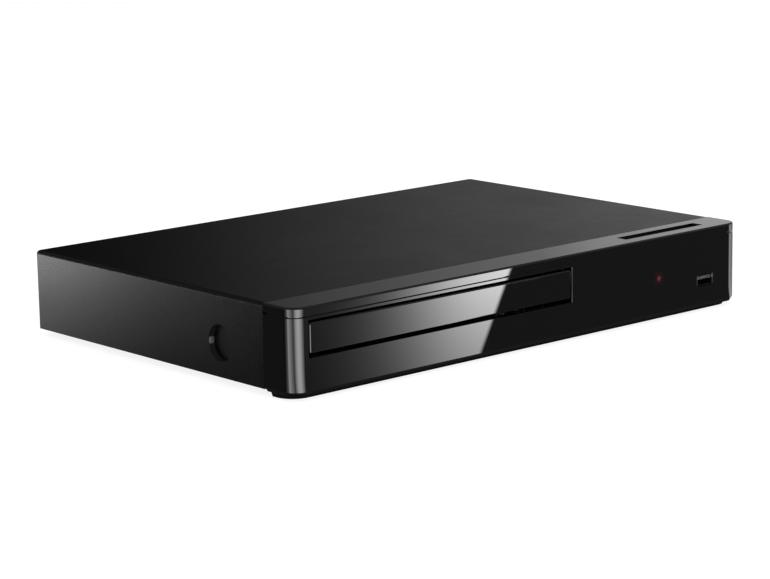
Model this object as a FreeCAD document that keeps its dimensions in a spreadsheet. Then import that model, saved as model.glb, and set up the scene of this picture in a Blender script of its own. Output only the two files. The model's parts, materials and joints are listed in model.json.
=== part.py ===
import FreeCAD, Part
import math
import os
from types import SimpleNamespace

import Sketcher

# Slim tray-loading disc player. Millimetres, +Z up, +X to the viewer's right, +Y to the back.
# Shapes are drawn from the front face (y = 0) and the ground (z = 0); each sub-part's placement
# then moves it back so that the middle of the whole footprint stands at the origin.

os.makedirs("parts", exist_ok=True)
doc = FreeCAD.newDocument("disc_player")
Vector = FreeCAD.Vector

SIZES = {
    # housing
    "body_width": 312.0,
    "body_depth": 210.0,
    "body_height": 45.0,
    "steel_gauge": 0.8,
    "bend_radius": 2.1,
    "cover_fit": 0.3,
    "side_clearance": 3.3,
    "rear_flange": 9.0,
    "dimple_radius": 9.4,
    "dimple_depth": 4.5,
    "dimple_draft": 12.0,
    "dimple_y": 55.3,
    "dimple_z": 20.2,
    "chassis_wall": 6.4,
    # front panel
    "panel_depth": 21.8,
    "panel_gap": 0.2,
    "corner_radius": 8.2,
    "trim_height": 4.35,
    "trim_wall": 2.2,
    "seam_gap": 0.9,
    "seam_depth": 1.2,
    "edge_round": 0.9,
    "fascia_wall": 2.4,
    "panel_drop": 1.0,
    "bevel_height": 2.0,
    "bevel_draft": 26.6,
    "chin_clearance": 0.3,
    "chin_inset": 1.05,
    "chin_front": 3.7,
    "chin_corner": 10.9,
    "chin_back": 18.3,
    "chin_draft": 12.0,
    # tray door and its opening
    "door_end_gap": 10.3,
    "door_width": 172.8,
    "door_height": 15.0,
    "door_bottom": 22.2,
    "door_thick": 2.2,
    "door_side_gap": 0.7,
    "door_top_gap": 1.3,
    "door_low_gap": 2.1,
    "door_corner": 1.2,
    "door_round": 0.8,
    "rib_end_gap": 6.4,
    "opening_round": 0.3,
    "rim_depth": 4.0,
    "rim_wall": 1.2,
    # keys, indicator and socket on the front
    "key_slot_end_gap": 20.6,
    "key_slot_y": 11.5,
    "key_slot_length": 59.3,
    "key_slot_width": 7.2,
    "key_slot_corner": 0.4,
    "key_gap": 0.3,
    "key_recess": 1.5,
    "key_travel": 0.6,
    "key_round": 0.4,
    "led_end_gap": 63.2,
    "led_z": 22.9,
    "led_radius": 1.2,
    "usb_end_gap": 26.9,
    "usb_z": 17.0,
    "usb_width": 13.1,
    "usb_height": 5.7,
    "usb_shell": 0.4,
    "front_board_y": 12.0,
    "board_thick": 1.6,
    # feet
    "foot_radius": 9.0,
    "foot_stem": 2.2,
    "foot_inset": 28.0,
    "foot_front_y": 40.0,
    "foot_rear_y": 186.0,
    # loader frame and its seats
    "loader_half_width": 74.0,
    "loader_wall": 3.0,
    "loader_front_y": 8.0,
    "loader_rear_y": 180.0,
    "loader_floor": 2.0,
    "post_height": 2.5,
    "post_radius": 4.5,
    "damper_flange": 1.5,
    "damper_radius": 5.5,
    "damper_neck": 4.0,
    "lug_half_width": 7.0,
    "lug_front_y": 30.0,
    "lug_rear_y": 165.0,
    "frame_wall_top": 37.0,
    "slide_gap": 0.3,
    "running_fit": 0.06,
    # tray
    "tray_half_width": 73.4,
    "tray_length": 173.8,
    "tray_plate_z": 25.5,
    "tray_rail_z": 21.5,
    "tray_rail": 3.2,
    "tray_rim_z": 33.0,
    "disc_y": 82.0,
    "disc_pocket_radius": 60.6,
    "disc_pocket_z": 28.5,
    "small_pocket_radius": 40.6,
    "small_pocket_z": 27.2,
    "tray_slot_width": 42.0,
    # clamp bridge and clamper
    "bridge_gauge": 1.2,
    "bridge_width": 44.0,
    "bridge_hole": 12.0,
    "clamp_pad_z": 31.7,
    "clamp_pad_radius": 15.0,
    "clamp_neck_radius": 11.0,
    "clamp_top_radius": 16.0,
    "clamp_recess": 8.6,
    # spindle and turntable
    "turntable_z": 30.0,
    "turntable_radius": 14.3,
    "rotor_radius": 13.4,
    "rotor_base_z": 22.4,
    "hub_radius": 7.45,
    "hub_height": 2.6,
    "spindle_shaft": 1.0,
    "stator_radius": 11.5,
    # traverse and its lift
    "traverse_half_width": 39.5,
    "traverse_front_y": 58.0,
    "traverse_rear_y": 170.0,
    "traverse_z": 15.5,
    "traverse_top_z": 21.5,
    "hinge_y": 174.0,
    "hinge_z": 17.5,
    "hinge_pin": 2.0,
    "lift_pin": 1.5,
    "lift_pin_z": 19.5,
    "lift_pin_left": -26.0,
    "lift_pin_right": 8.0,
    "lift_drop": 6.0,
    "cam_travel": 20.0,
    "cam_thick": 2.4,
    "cam_y": 51.8,
    "cam_slot_gap": 0.35,
    # pickup
    "rod_radius": 1.5,
    "rod_half_pitch": 22.0,
    "rod_z": 17.5,
    "sled_front_y": 97.5,
    "sled_length": 27.0,
    "sled_top_z": 26.2,
    "lens_y": 105.0,
    "lens_radius": 2.2,
    "screw_x": -31.0,
    "screw_radius": 1.8,
    "sled_motor_radius": 6.0,
    # loading gears
    "rack_module": 1.5,
    "train_module": 0.9,
    "rack_pinion_teeth": 10.0,
    "drive_teeth": 30.0,
    "pulley_pinion_teeth": 12.0,
    "drive_gear_dx": 55.5,
    "drive_gear_y": 28.0,
    "train_angle": 109.0,
    "train_z": 16.0,
    "train_face": 3.4,
    "backlash": 0.22,
    "gear_stud": 1.5,
    "pulley_z": 19.9,
    "pulley_thick": 2.2,
    "pulley_radius": 9.5,
    "motor_pulley_radius": 3.0,
    "belt_width": 1.2,
    "motor_radius": 10.0,
    "motor_dy": 26.0,
    # circuit boards and what they carry
    "board_standoff": 5.0,
    "stand_reach": 3.0,
    "board_gap": 3.0,
    "main_board_y": 100.0,
    "power_board_end_gap": 4.0,
    "power_board_width": 51.0,
    "power_board_y": 70.0,
    "heat_sink_side": 30.0,
    "fin_count": 8.0,
    "fin_thick": 1.2,
    "fin_height": 11.0,
    "hdmi_offset": -8.0,
    "lan_offset": 16.0,
    "coax_offset": -24.0,
    "inlet_offset": 6.5,
    "jack_reach": 7.5,
    "jack_radius": 4.2,
    "socket_z": 18.2,
    "socket_fit": 0.3,
    "vent_count": 8.0,
    "vent_pitch": 5.0,
    "vent_width": 2.4,
    "vent_length": 18.0,
    # fasteners
}


# Sheet, and sizes that are both a number and an expression on the sheet

def make_sheet():
    sheet = doc.addObject("Spreadsheet::Sheet", "Sizes")
    for row, (alias, value) in enumerate(SIZES.items(), start=1):
        sheet.set(f"A{row}", alias)
        sheet.set(f"B{row}", str(value))
        sheet.setAlias(f"B{row}", alias)
    doc.recompute()
    return sheet


class Size:
    """A length kept as its number and as the expression that gives it from the sheet."""

    def __init__(self, number, text):
        self.number = number
        self.text = text

    def __add__(self, other):
        other = as_size(other)
        return Size(self.number + other.number, f"({self.text} + {other.text})")

    def __radd__(self, other):
        return as_size(other) + self

    def __sub__(self, other):
        other = as_size(other)
        return Size(self.number - other.number, f"({self.text} - {other.text})")

    def __rsub__(self, other):
        return as_size(other) - self

    def __mul__(self, other):
        other = as_size(other)
        return Size(self.number * other.number, f"({self.text} * {other.text})")

    def __rmul__(self, other):
        return as_size(other) * self

    def __truediv__(self, other):
        other = as_size(other)
        return Size(self.number / other.number, f"({self.text} / {other.text})")

    def __neg__(self):
        return Size(-self.number, f"(-{self.text})")


def as_size(value):
    if isinstance(value, Size):
        return value
    return Size(float(value), f"({value})")


def size_cos(angle):
    return Size(math.cos(math.radians(angle.number)), f"cos({angle.text} * 1 deg)")


def size_sin(angle):
    return Size(math.sin(math.radians(angle.number)), f"sin({angle.text} * 1 deg)")


sheet = make_sheet()
S = SimpleNamespace(**{alias: Size(float(sheet.get(alias)), f"Sizes.{alias}") for alias in SIZES})


def bind(item, prop, length):
    item.setExpression(prop, as_size(length).text)


# Solids, booleans and groups

TURNS = {
    "X": FreeCAD.Rotation(Vector(0, 1, 0), 90),
    "Y": FreeCAD.Rotation(Vector(1, 0, 0), -90),
    "Z": FreeCAD.Rotation(),
}


def block(x, y, z):
    """Box between the low and high values of each axis."""
    item = doc.addObject("Part::Box", "block")
    for prop, base, (low, high) in zip(("Length", "Width", "Height"), "xyz", (x, y, z)):
        bind(item, prop, as_size(high) - low)
        bind(item, f"Placement.Base.{base}", low)
    return item


def rod(axis, span, first, second, radius):
    """Cylinder along an axis over a span; first and second place it on the other two axes."""
    item = doc.addObject("Part::Cylinder", "rod")
    item.Placement = FreeCAD.Placement(Vector(), TURNS[axis])
    bind(item, "Radius", radius)
    bind(item, "Height", as_size(span[1]) - span[0])
    places = [first, second]
    places.insert("XYZ".index(axis), span[0])
    for base, place in zip("xyz", places):
        bind(item, f"Placement.Base.{base}", place)
    return item


def cone(span, x, y, low_radius, high_radius):
    item = doc.addObject("Part::Cone", "cone")
    bind(item, "Radius1", low_radius)
    bind(item, "Radius2", high_radius)
    bind(item, "Height", as_size(span[1]) - span[0])
    for base, place in zip("xyz", (x, y, span[0])):
        bind(item, f"Placement.Base.{base}", place)
    return item


def join(*items):
    item = doc.addObject("Part::MultiFuse", "join")
    item.Shapes = list(items)
    item.Refine = True
    return item


def cut(base, *tools):
    item = doc.addObject("Part::Cut", "cut")
    item.Base = base
    item.Tool = tools[0] if len(tools) == 1 else join(*tools)
    item.Refine = True
    return item


def group(*items):
    item = doc.addObject("Part::Compound", "group")
    item.Links = list(items)
    return item


def solid(shape):
    """A shape worked out by a formula, kept as a feature of its own."""
    item = doc.addObject("Part::Feature", "formed")
    item.Shape = shape
    return item


# Sketches and features of a body

PLANES = {
    "Z": ("XY_Plane", 1),
    "Y": ("XZ_Plane", -1),
    "X": ("YZ_Plane", 1),
}


def new_body():
    return doc.addObject("PartDesign::Body", "body")


def add_circle(sketch, x, y, radius):
    circle = Part.Circle(Vector(x.number, y.number, 0), Vector(0, 0, 1), radius.number)
    index = sketch.addGeometry(circle, False)
    for kind, value in (("DistanceX", x), ("DistanceY", y)):
        rule = sketch.addConstraint(Sketcher.Constraint(kind, -1, 1, index, 3, value.number))
        bind(sketch, f"Constraints[{rule}]", value)
    rule = sketch.addConstraint(Sketcher.Constraint("Radius", index, radius.number))
    bind(sketch, f"Constraints[{rule}]", radius)


def add_arc(sketch, start, end, radius):
    """Arc of less than half a turn; a positive radius bends to the left of its travel."""
    chord = end - start
    middle = (start + end) * 0.5
    rise = math.sqrt(radius * radius - chord.Length ** 2 / 4)
    left = Vector(-chord.y, chord.x, 0) / chord.Length
    centre = middle + left * math.copysign(rise, radius)
    first = math.atan2(start.y - centre.y, start.x - centre.x)
    last = math.atan2(end.y - centre.y, end.x - centre.x)
    if radius < 0:
        first, last = last, first
    circle = Part.Circle(centre, Vector(0, 0, 1), abs(radius))
    sketch.addGeometry(Part.ArcOfCircle(circle, first, last), False)


def add_loop(sketch, points):
    """Closed outline. A point is (x, y), or (x, y, radius) where an arc leads to the next one."""
    first = len(sketch.Geometry)
    count = len(points)
    spots = [Vector(as_size(point[0]).number, as_size(point[1]).number, 0) for point in points]
    bends = [as_size(point[2]) if len(point) > 2 else None for point in points]
    for index in range(count):
        start, end = spots[index], spots[(index + 1) % count]
        if bends[index] is None:
            sketch.addGeometry(Part.LineSegment(start, end), False)
        else:
            add_arc(sketch, start, end, bends[index].number)
    for index, point in enumerate(points):
        near = 2 if bends[index] is not None and bends[index].number < 0 else 1
        before = (index - 1) % count
        far = 1 if bends[before] is not None and bends[before].number < 0 else 2
        here, last = first + index, first + before
        sketch.addConstraint(Sketcher.Constraint("Coincident", last, far, here, near))
        for kind, value in (("DistanceX", as_size(point[0])), ("DistanceY", as_size(point[1]))):
            rule = sketch.addConstraint(Sketcher.Constraint(kind, -1, 1, here, near, value.number))
            bind(sketch, f"Constraints[{rule}]", value)
        if bends[index] is not None:
            length = bends[index] if bends[index].number > 0 else -bends[index]
            rule = sketch.addConstraint(Sketcher.Constraint("Radius", here, length.number))
            bind(sketch, f"Constraints[{rule}]", length)


def rectangle(x, y):
    return [(x[0], y[0]), (x[1], y[0]), (x[1], y[1]), (x[0], y[1])]


def square(x, y, reach):
    """Outline of a square about a centre, out to a reach on each side."""
    return rectangle((x - reach, x + reach), (y - reach, y + reach))


def rounded(x, y, radius):
    """Rectangle with four round corners."""
    (left, right), (low, high) = x, y
    return [
        (left + radius, low), (right - radius, low, radius),
        (right, low + radius), (right, high - radius, radius),
        (right - radius, high), (left + radius, high, radius),
        (left, high - radius), (left, low + radius, radius),
    ]


def draw(body, axis, place, loops):
    """Sketch across an axis at a place; a loop is an outline, or a circle as (x, y, radius)."""
    role, sign = PLANES[axis]
    sketch = body.newObject("Sketcher::SketchObject", "sketch")
    plane = [item for item in body.Origin.OriginFeatures if item.Role == role][0]
    sketch.AttachmentSupport = [(plane, "")]
    sketch.MapMode = "FlatFace"
    bind(sketch, "AttachmentOffset.Base.z", as_size(place) * sign)
    for loop in loops:
        if isinstance(loop, tuple):
            add_circle(sketch, *(as_size(value) for value in loop))
        else:
            add_loop(sketch, loop)
    return sketch


def pad(body, axis, span, *loops, draft=None):
    """Material over a span of the axis, from the low end up; draft narrows it as it goes."""
    feature = body.newObject("PartDesign::Pad", "pad")
    feature.Profile = draw(body, axis, span[0], loops)
    bind(feature, "Length", as_size(span[1]) - span[0])
    feature.Reversed = PLANES[axis][1] < 0
    if draft is not None:
        bind(feature, "TaperAngle", -draft)
    return feature


def pad_down(body, axis, span, *loops, draft):
    """Material over a span of the axis, from the high end down, narrowed by the draft."""
    feature = body.newObject("PartDesign::Pad", "pad")
    feature.Profile = draw(body, axis, span[1], loops)
    bind(feature, "Length", as_size(span[1]) - span[0])
    feature.Reversed = PLANES[axis][1] > 0
    bind(feature, "TaperAngle", -draft)
    return feature


def pocket(body, axis, span, *loops, draft=None):
    """Cut over a span of the axis, from the low end up."""
    feature = body.newObject("PartDesign::Pocket", "pocket")
    feature.Profile = draw(body, axis, span[0], loops)
    bind(feature, "Length", as_size(span[1]) - span[0])
    feature.Reversed = PLANES[axis][1] > 0
    if draft is not None:
        bind(feature, "TaperAngle", -draft)
    return feature


def pocket_down(body, axis, span, *loops, draft):
    """Cut over a span of the axis, from the high end down, narrowed by the draft."""
    feature = body.newObject("PartDesign::Pocket", "pocket")
    feature.Profile = draw(body, axis, span[1], loops)
    bind(feature, "Length", as_size(span[1]) - span[0])
    feature.Reversed = PLANES[axis][1] < 0
    bind(feature, "TaperAngle", -draft)
    return feature


def revolve(body, points):
    """Turned piece: a profile of (radius, z) points about the body's own Z axis."""
    sketch = draw(body, "Y", 0, [points])
    feature = body.newObject("PartDesign::Revolution", "revolution")
    feature.Profile = sketch
    feature.ReferenceAxis = (sketch, ["V_Axis"])
    feature.Angle = 360
    return feature


def edges_within(shape, x, y, z):
    """Names of the edges that lie inside a box, with a hair to spare."""
    hair = 0.02
    names = []
    for index, edge in enumerate(shape.Edges, start=1):
        box = edge.BoundBox
        lows = (box.XMin, box.YMin, box.ZMin)
        highs = (box.XMax, box.YMax, box.ZMax)
        limits = [(as_size(low).number, as_size(high).number) for low, high in (x, y, z)]
        if all(low - hair <= a and b <= high + hair for a, b, (low, high) in zip(lows, highs, limits)):
            names.append(f"Edge{index}")
    return names


def soften(body, kind, prop, size, x, y, z):
    """Fillet or chamfer of the edges that lie inside a box."""
    doc.recompute()
    base = body.Tip
    names = edges_within(base.Shape, x, y, z)
    if not names:
        raise RuntimeError(f"no edge to soften on {body.Name}")
    feature = body.newObject(f"PartDesign::{kind}", kind.lower())
    feature.Base = (base, names)
    bind(feature, prop, size)
    return feature


NODES = []


def node(label, item, x=0, y=0, z=0):
    """Names a finished sub-part and places it in the frame of the whole player."""
    item.Label = label
    bind(item, "Placement.Base.x", x)
    bind(item, "Placement.Base.y", as_size(y) + front_y)
    bind(item, "Placement.Base.z", z)
    NODES.append(item)


# Sizes that several sub-parts share

half_width = S.body_width / 2
loader_x = S.door_end_gap + S.door_width / 2 - half_width
key_slot_x = half_width - S.key_slot_end_gap - S.key_slot_length / 2
led_x = half_width - S.led_end_gap
usb_x = half_width - S.usb_end_gap
power_board_x = half_width - S.power_board_end_gap - S.power_board_width / 2
lug_reach = S.loader_half_width + S.loader_wall + S.damper_radius + 0.5
main_board_left = loader_x + lug_reach + S.lug_half_width + S.board_gap
main_board_width = power_board_x - S.power_board_width / 2 - S.board_gap - main_board_left
main_board_x = main_board_left + main_board_width / 2
hdmi_x = main_board_x + S.hdmi_offset
lan_x = main_board_x + S.lan_offset
coax_x = main_board_x + S.coax_offset
inlet_x = power_board_x + S.inlet_offset
top_z = S.body_height
plate_top = S.side_clearance + S.steel_gauge
cover_front = S.panel_depth + S.panel_gap
panel_y = S.body_depth - 2 * S.steel_gauge
front_y = -(panel_y + S.jack_reach) / 2
trim_bottom = top_z - S.trim_height
fascia_top = trim_bottom - S.seam_gap
post_top = plate_top + S.post_height
frame_z = post_top + S.damper_flange
floor_top = frame_z + S.loader_floor
tray_front = S.door_thick
board_z = plate_top + S.board_standoff
board_top = board_z + S.board_thick
opening_x = (loader_x - S.door_width / 2 - S.door_side_gap, loader_x + S.door_width / 2 + S.door_side_gap)
opening_z = (S.door_bottom - S.door_low_gap, S.door_bottom + S.door_height + S.door_top_gap)
key_guide_z = top_z - S.trim_wall - 3.5
LUGS = ((-1, S.lug_front_y), (1, S.lug_front_y), (-1, S.lug_rear_y), (1, S.lug_rear_y))


def lug_x(side):
    return loader_x + side * lug_reach


# Housing

def top_cover():
    body = new_body()
    wall, bend = S.steel_gauge, S.bend_radius
    left, right = -half_width, half_width
    outline = [
        (left, S.side_clearance), (left + wall, S.side_clearance),
        (left + wall, top_z - bend, wall - bend), (left + bend, top_z - wall),
        (right - bend, top_z - wall, wall - bend), (right - wall, top_z - bend),
        (right - wall, S.side_clearance), (right, S.side_clearance),
        (right, top_z - bend, bend), (right - bend, top_z),
        (left + bend, top_z, bend), (left, top_z - bend),
    ]
    pad(body, "Y", (cover_front, S.body_depth), outline)
    flange = rectangle((left + bend, right - bend), (top_z - S.rear_flange, top_z - wall))
    pad(body, "Y", (S.body_depth - wall, S.body_depth), flange)
    centre = (S.dimple_y, S.dimple_z)
    floor = S.dimple_depth + wall
    pad(body, "X", (left + wall / 2, left + floor), (*centre, S.dimple_radius + wall), draft=S.dimple_draft)
    pocket(body, "X", (left, left + S.dimple_depth), (*centre, S.dimple_radius), draft=S.dimple_draft)
    pad_down(body, "X", (right - floor, right - wall / 2), (*centre, S.dimple_radius + wall),
             draft=S.dimple_draft)
    pocket_down(body, "X", (right - S.dimple_depth, right), (*centre, S.dimple_radius),
                draft=S.dimple_draft)
    node("top_cover", body)


def bottom_chassis():
    body = new_body()
    wall, bend = S.steel_gauge, S.bend_radius
    reach = half_width - wall - S.cover_fit
    low, high = S.side_clearance, S.side_clearance + S.chassis_wall
    outline = [
        (-reach, high), (-reach, low + bend, bend), (-reach + bend, low),
        (reach - bend, low, bend), (reach, low + bend), (reach, high),
        (reach - wall, high), (reach - wall, low + bend, wall - bend), (reach - bend, low + wall),
        (-reach + bend, low + wall, wall - bend), (-reach + wall, low + bend), (-reach + wall, high),
    ]
    chassis_y = (cover_front + S.cover_fit, panel_y)
    pad(body, "Y", chassis_y, outline)
    posts = [(lug_x(side), y, S.post_radius) for side, y in LUGS]
    pad(body, "Z", (plate_top - wall / 2, post_top), *posts)
    stands = [square(x, y, S.stand_reach) for x, y in BOARD_STANDS]
    pad(body, "Z", (plate_top - wall / 2, board_z), *stands)
    stems = [square(x, y, S.foot_stem + 0.1) for x, y in FEET.values()]
    pocket(body, "Z", (low - 1, plate_top + 1), *stems)
    vents = []
    for index in range(int(S.vent_count.number)):
        x = main_board_left + 8 + index * S.vent_pitch
        y = S.main_board_y + 44
        vents.append(rectangle((x, x + S.vent_width), (y, y + S.vent_length)))
    pocket(body, "Z", (low - 1, plate_top + 1), *vents)
    node("bottom_chassis", body)


FEET = {
    "foot_front_left": (S.foot_inset - half_width, S.foot_front_y),
    "foot_front_right": (half_width - S.foot_inset, S.foot_front_y),
    "foot_rear_left": (S.foot_inset - half_width, S.foot_rear_y),
    "foot_rear_right": (half_width - S.foot_inset, S.foot_rear_y),
}


def board_corners(x, width, y):
    """Places near the corners of a board that ends at the rear panel."""
    inset = 5
    back = panel_y - 26
    return [(x + side * (width / 2 - inset), place) for side in (-1, 1) for place in (y + inset, back)]


BOARD_STANDS = (board_corners(main_board_x, main_board_width, S.main_board_y)
                + board_corners(power_board_x, S.power_board_width, S.power_board_y))


def feet():
    """Turned rubber feet, each held in the chassis plate by its square stem."""
    radius, height = S.foot_radius, S.side_clearance
    for label, (x, y) in FEET.items():
        body = new_body()
        revolve(body, [(0, 0), (radius, 0), (radius, height), (0, height)])
        pad(body, "Z", (height - 1, plate_top + 1.2), square(as_size(0), as_size(0), S.foot_stem))
        node(label, body, x=x, y=y)


def rear_panel():
    wall = S.steel_gauge
    reach = half_width - wall - 2 * S.cover_fit
    plate = block((-reach, reach), (panel_y, panel_y + wall),
                  (S.side_clearance, top_z - wall - S.cover_fit))
    through = (panel_y - 1, panel_y + wall + 1)
    fit = S.socket_fit
    tools = [
        socket_window(hdmi_x, HDMI, fit, through),
        socket_window(lan_x, LAN, fit, through),
        socket_window(inlet_x, INLET, fit, through),
        rod("Y", through, coax_x, S.socket_z, S.jack_radius + fit),
    ]
    for index in range(int(S.vent_count.number)):
        x = loader_x - S.vent_pitch * S.vent_count / 2 + index * S.vent_pitch
        z = S.socket_z - S.vent_length / 2
        tools.append(block((x, x + S.vent_width), through, (z, z + S.vent_length)))
    node("rear_panel", cut(plate, *tools))


HDMI = SimpleNamespace(width=15.0, height=6.0, depth=12.0, low=board_top)
LAN = SimpleNamespace(width=16.0, height=13.4, depth=18.0, low=board_top)
INLET = SimpleNamespace(width=22.0, height=13.0, depth=17.0, low=board_top)


def socket_window(x, kind, fit, through):
    return block((x - kind.width / 2 - fit, x + kind.width / 2 + fit), through,
                 (kind.low - fit, kind.low + kind.height + fit))


# Front panel

def wrap_outline(near, far, back):
    """Plan of a wall round the front and both front corners, between two distances inwards."""
    r, left, right = S.corner_radius, -half_width, half_width
    return [
        (left + near, back), (left + near, r, r - near), (left + r, near), (right - r, near, r - near),
        (right - near, r), (right - near, back), (right - far, back), (right - far, r, far - r),
        (right - r, far), (left + r, far, far - r), (left + far, r), (left + far, back),
    ]


def plan_outline(inset, back, front=None, radius=None):
    """Plan of a plate with two round front corners, drawn in from the panel's outline."""
    left, right = inset - half_width, half_width - inset
    front = inset if front is None else front
    r = S.corner_radius - inset if radius is None else radius
    return [
        (left, back), (left, front + r, r), (left + r, front),
        (right - r, front, r), (right, front + r), (right, back),
    ]


BOSSES = ((led_x - 20, as_size(27)), (led_x + 18, as_size(12)), (usb_x + 16, as_size(30)))


HOOKS = [place * S.body_width for place in (-0.42, -0.14, 0.14, 0.42)]


def front_fascia():
    body = new_body()
    wall = S.fascia_wall
    low, back = S.side_clearance - S.panel_drop, S.panel_depth
    bevel_top = low + S.bevel_height
    pad(body, "Z", (bevel_top, fascia_top), wrap_outline(as_size(0), wall, back))
    pad_down(body, "Z", (low, bevel_top), plan_outline(as_size(0), back), draft=S.bevel_draft)
    pad(body, "Z", (bevel_top - 1, low + wall), plan_outline(wall / 2, back))
    chin = plan_outline(S.chin_inset, S.chin_back, S.chin_front, S.chin_corner)
    pad_down(body, "Z", (S.chin_clearance, low), chin, draft=S.chin_draft)
    hooks = [rectangle((x - 6, x + 6), (back - 3, cover_front + 8)) for x in HOOKS]
    pad(body, "Z", (plate_top, plate_top + 1.6), *hooks)
    rim = rectangle((opening_x[0] - S.rim_wall, opening_x[1] + S.rim_wall),
                    (opening_z[0] - S.rim_wall, opening_z[1] + S.rim_wall))
    pad(body, "Y", (wall / 2, wall + S.rim_depth), rim)
    pocket(body, "Y", (as_size(-1), wall + S.rim_depth + 1), rectangle(opening_x, opening_z))
    right = opening_x[1]
    soften(body, "Fillet", "Radius", S.opening_round, (right, right), (0, 0), opening_z)
    through = (as_size(-1), wall + 1)
    port_x = (usb_x - S.usb_width / 2 - S.socket_fit, usb_x + S.usb_width / 2 + S.socket_fit)
    port_z = (S.usb_z - S.usb_height / 2 - S.socket_fit, S.usb_z + S.usb_height / 2 + S.socket_fit)
    pocket(body, "Y", through, rectangle(port_x, port_z))
    pocket(body, "Y", through, (led_x, S.led_z, S.led_radius + 0.1))
    pad(body, "Y", (wall / 2, S.front_board_y), *[square(x, z, as_size(2.6)) for x, z in BOSSES])
    node("front_fascia", body)


def front_top_trim():
    body = new_body()
    back = S.panel_depth
    pad(body, "Z", (trim_bottom, top_z), wrap_outline(as_size(0), S.trim_wall, back))
    pad(body, "Z", (fascia_top, trim_bottom + 1), wrap_outline(S.seam_depth, S.trim_wall, back))
    pad(body, "Z", (top_z - S.trim_wall, top_z), plan_outline(S.trim_wall / 2, back))
    soften(body, "Fillet", "Radius", S.edge_round,
           (-half_width, half_width), (0, back - 0.1), (top_z, top_z))
    lip_top = top_z - S.steel_gauge - 0.1
    lip = rectangle((4 - half_width, half_width - 4), (back - 2, cover_front + 4))
    pad(body, "Z", (lip_top - 1.3, lip_top), lip)
    slot_x = (key_slot_x - S.key_slot_length / 2, key_slot_x + S.key_slot_length / 2)
    slot_y = (S.key_slot_y - S.key_slot_width / 2, S.key_slot_y + S.key_slot_width / 2)
    guide = rectangle((slot_x[0] - 1.2, slot_x[1] + 1.2), (slot_y[0] - 1.2, slot_y[1] + 1.2))
    pad(body, "Z", (key_guide_z, top_z - S.trim_wall / 2), guide)
    pocket(body, "Z", (key_guide_z - 1, top_z + 1), rounded(slot_x, slot_y, S.key_slot_corner))
    node("front_top_trim", body)


def keys():
    """Two long keys that share one slot, each held up from below by its flange."""
    gap = S.key_gap
    length = (S.key_slot_length - 3 * gap) / 2
    key_y = (S.key_slot_y - S.key_slot_width / 2 + gap, S.key_slot_y + S.key_slot_width / 2 - gap)
    top = top_z - S.key_recess
    starts = {
        "open_close_button": key_slot_x - S.key_slot_length / 2 + gap,
        "power_button": key_slot_x + gap / 2,
    }
    for label, start in starts.items():
        body = new_body()
        cap_x = (start, start + length)
        pad(body, "Z", (key_guide_z - 1.2, top), rectangle(cap_x, key_y))
        soften(body, "Chamfer", "Size", S.key_round, cap_x, key_y, (top, top))
        flange = rectangle((start + 1, start + length - 1), (key_y[0] - 1.0, key_y[1] + 1.0))
        pad(body, "Z", (key_guide_z - 1.5, key_guide_z - 0.3), flange)
        middle = start + length / 2
        stem = rectangle((middle - 2, middle + 2), (S.key_slot_y - 1.5, S.key_slot_y + 1.0))
        pad(body, "Z", (switch_top + S.key_travel + 0.15, key_guide_z - 0.5), stem)
        node(label, body)


switch_top = key_guide_z - 3.4


def led_lens():
    """Light pipe from the indicator to the panel's face, stopped behind the wall by its collar."""
    body = new_body()
    collar_z = (S.fascia_wall, S.fascia_wall + 1)
    pad(body, "Y", (as_size(0), S.front_board_y - 2.3), (led_x, S.led_z, S.led_radius))
    pad(body, "Y", collar_z, square(led_x, S.led_z, S.led_radius + 1))
    node("led_lens", body)


def front_board():
    y = (S.front_board_y, S.front_board_y + S.board_thick)
    x = (key_slot_x - S.key_slot_length / 2 - 10, half_width - S.fascia_wall - 3)
    node("front_board", group(block(x, y, (S.side_clearance + S.fascia_wall + 1, switch_top - 1.0))))


def key_switches():
    """Side-standing tactile switches on the board's upper edge, one below each key."""
    length = (S.key_slot_length - 3 * S.key_gap) / 2
    switches = []
    for side in (-1, 1):
        x = key_slot_x + side * (length + S.key_gap) / 2
        case = block((x - 3, x + 3), (S.front_board_y - 3.5, S.front_board_y),
                     (switch_top - 4.8, switch_top - 0.8))
        plunger = block((x - 1.2, x + 1.2), (S.front_board_y - 3.0, S.front_board_y - 0.6),
                        (switch_top - 1.5, switch_top))
        switches.append(join(case, plunger))
    node("key_switches", group(*switches))


def status_led():
    case = block((led_x - 1.5, led_x + 1.5), (S.front_board_y - 0.8, S.front_board_y),
                 (S.led_z - 1, S.led_z + 1))
    dome = rod("Y", (S.front_board_y - 2.0, S.front_board_y - 0.4), led_x, S.led_z, 0.9)
    node("status_led", join(case, dome))


def infrared_receiver():
    x, z = led_x + 12, S.led_z
    case = block((x - 3, x + 3), (S.front_board_y - 4.6, S.front_board_y), (z - 3.5, z + 3.5))
    node("infrared_receiver", group(case))


def usb_socket():
    """Pressed shell, open at the front, with its contact tongue in the upper half."""
    wall = S.usb_shell
    x = (usb_x - S.usb_width / 2, usb_x + S.usb_width / 2)
    z = (S.usb_z - S.usb_height / 2, S.usb_z + S.usb_height / 2)
    front, back = as_size(0.4), S.front_board_y
    shell = block(x, (front, back), z)
    cavity = block((x[0] + wall, x[1] - wall), (front - 1, back - 2), (z[0] + wall, z[1] - wall))
    tongue = block((x[0] + 1, x[1] - 1), (front + 1.8, back - 1), (z[1] - wall - 2.3, z[1] - wall - 0.5))
    node("usb_socket", join(cut(shell, cavity), tongue))


# Tray and door

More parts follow.
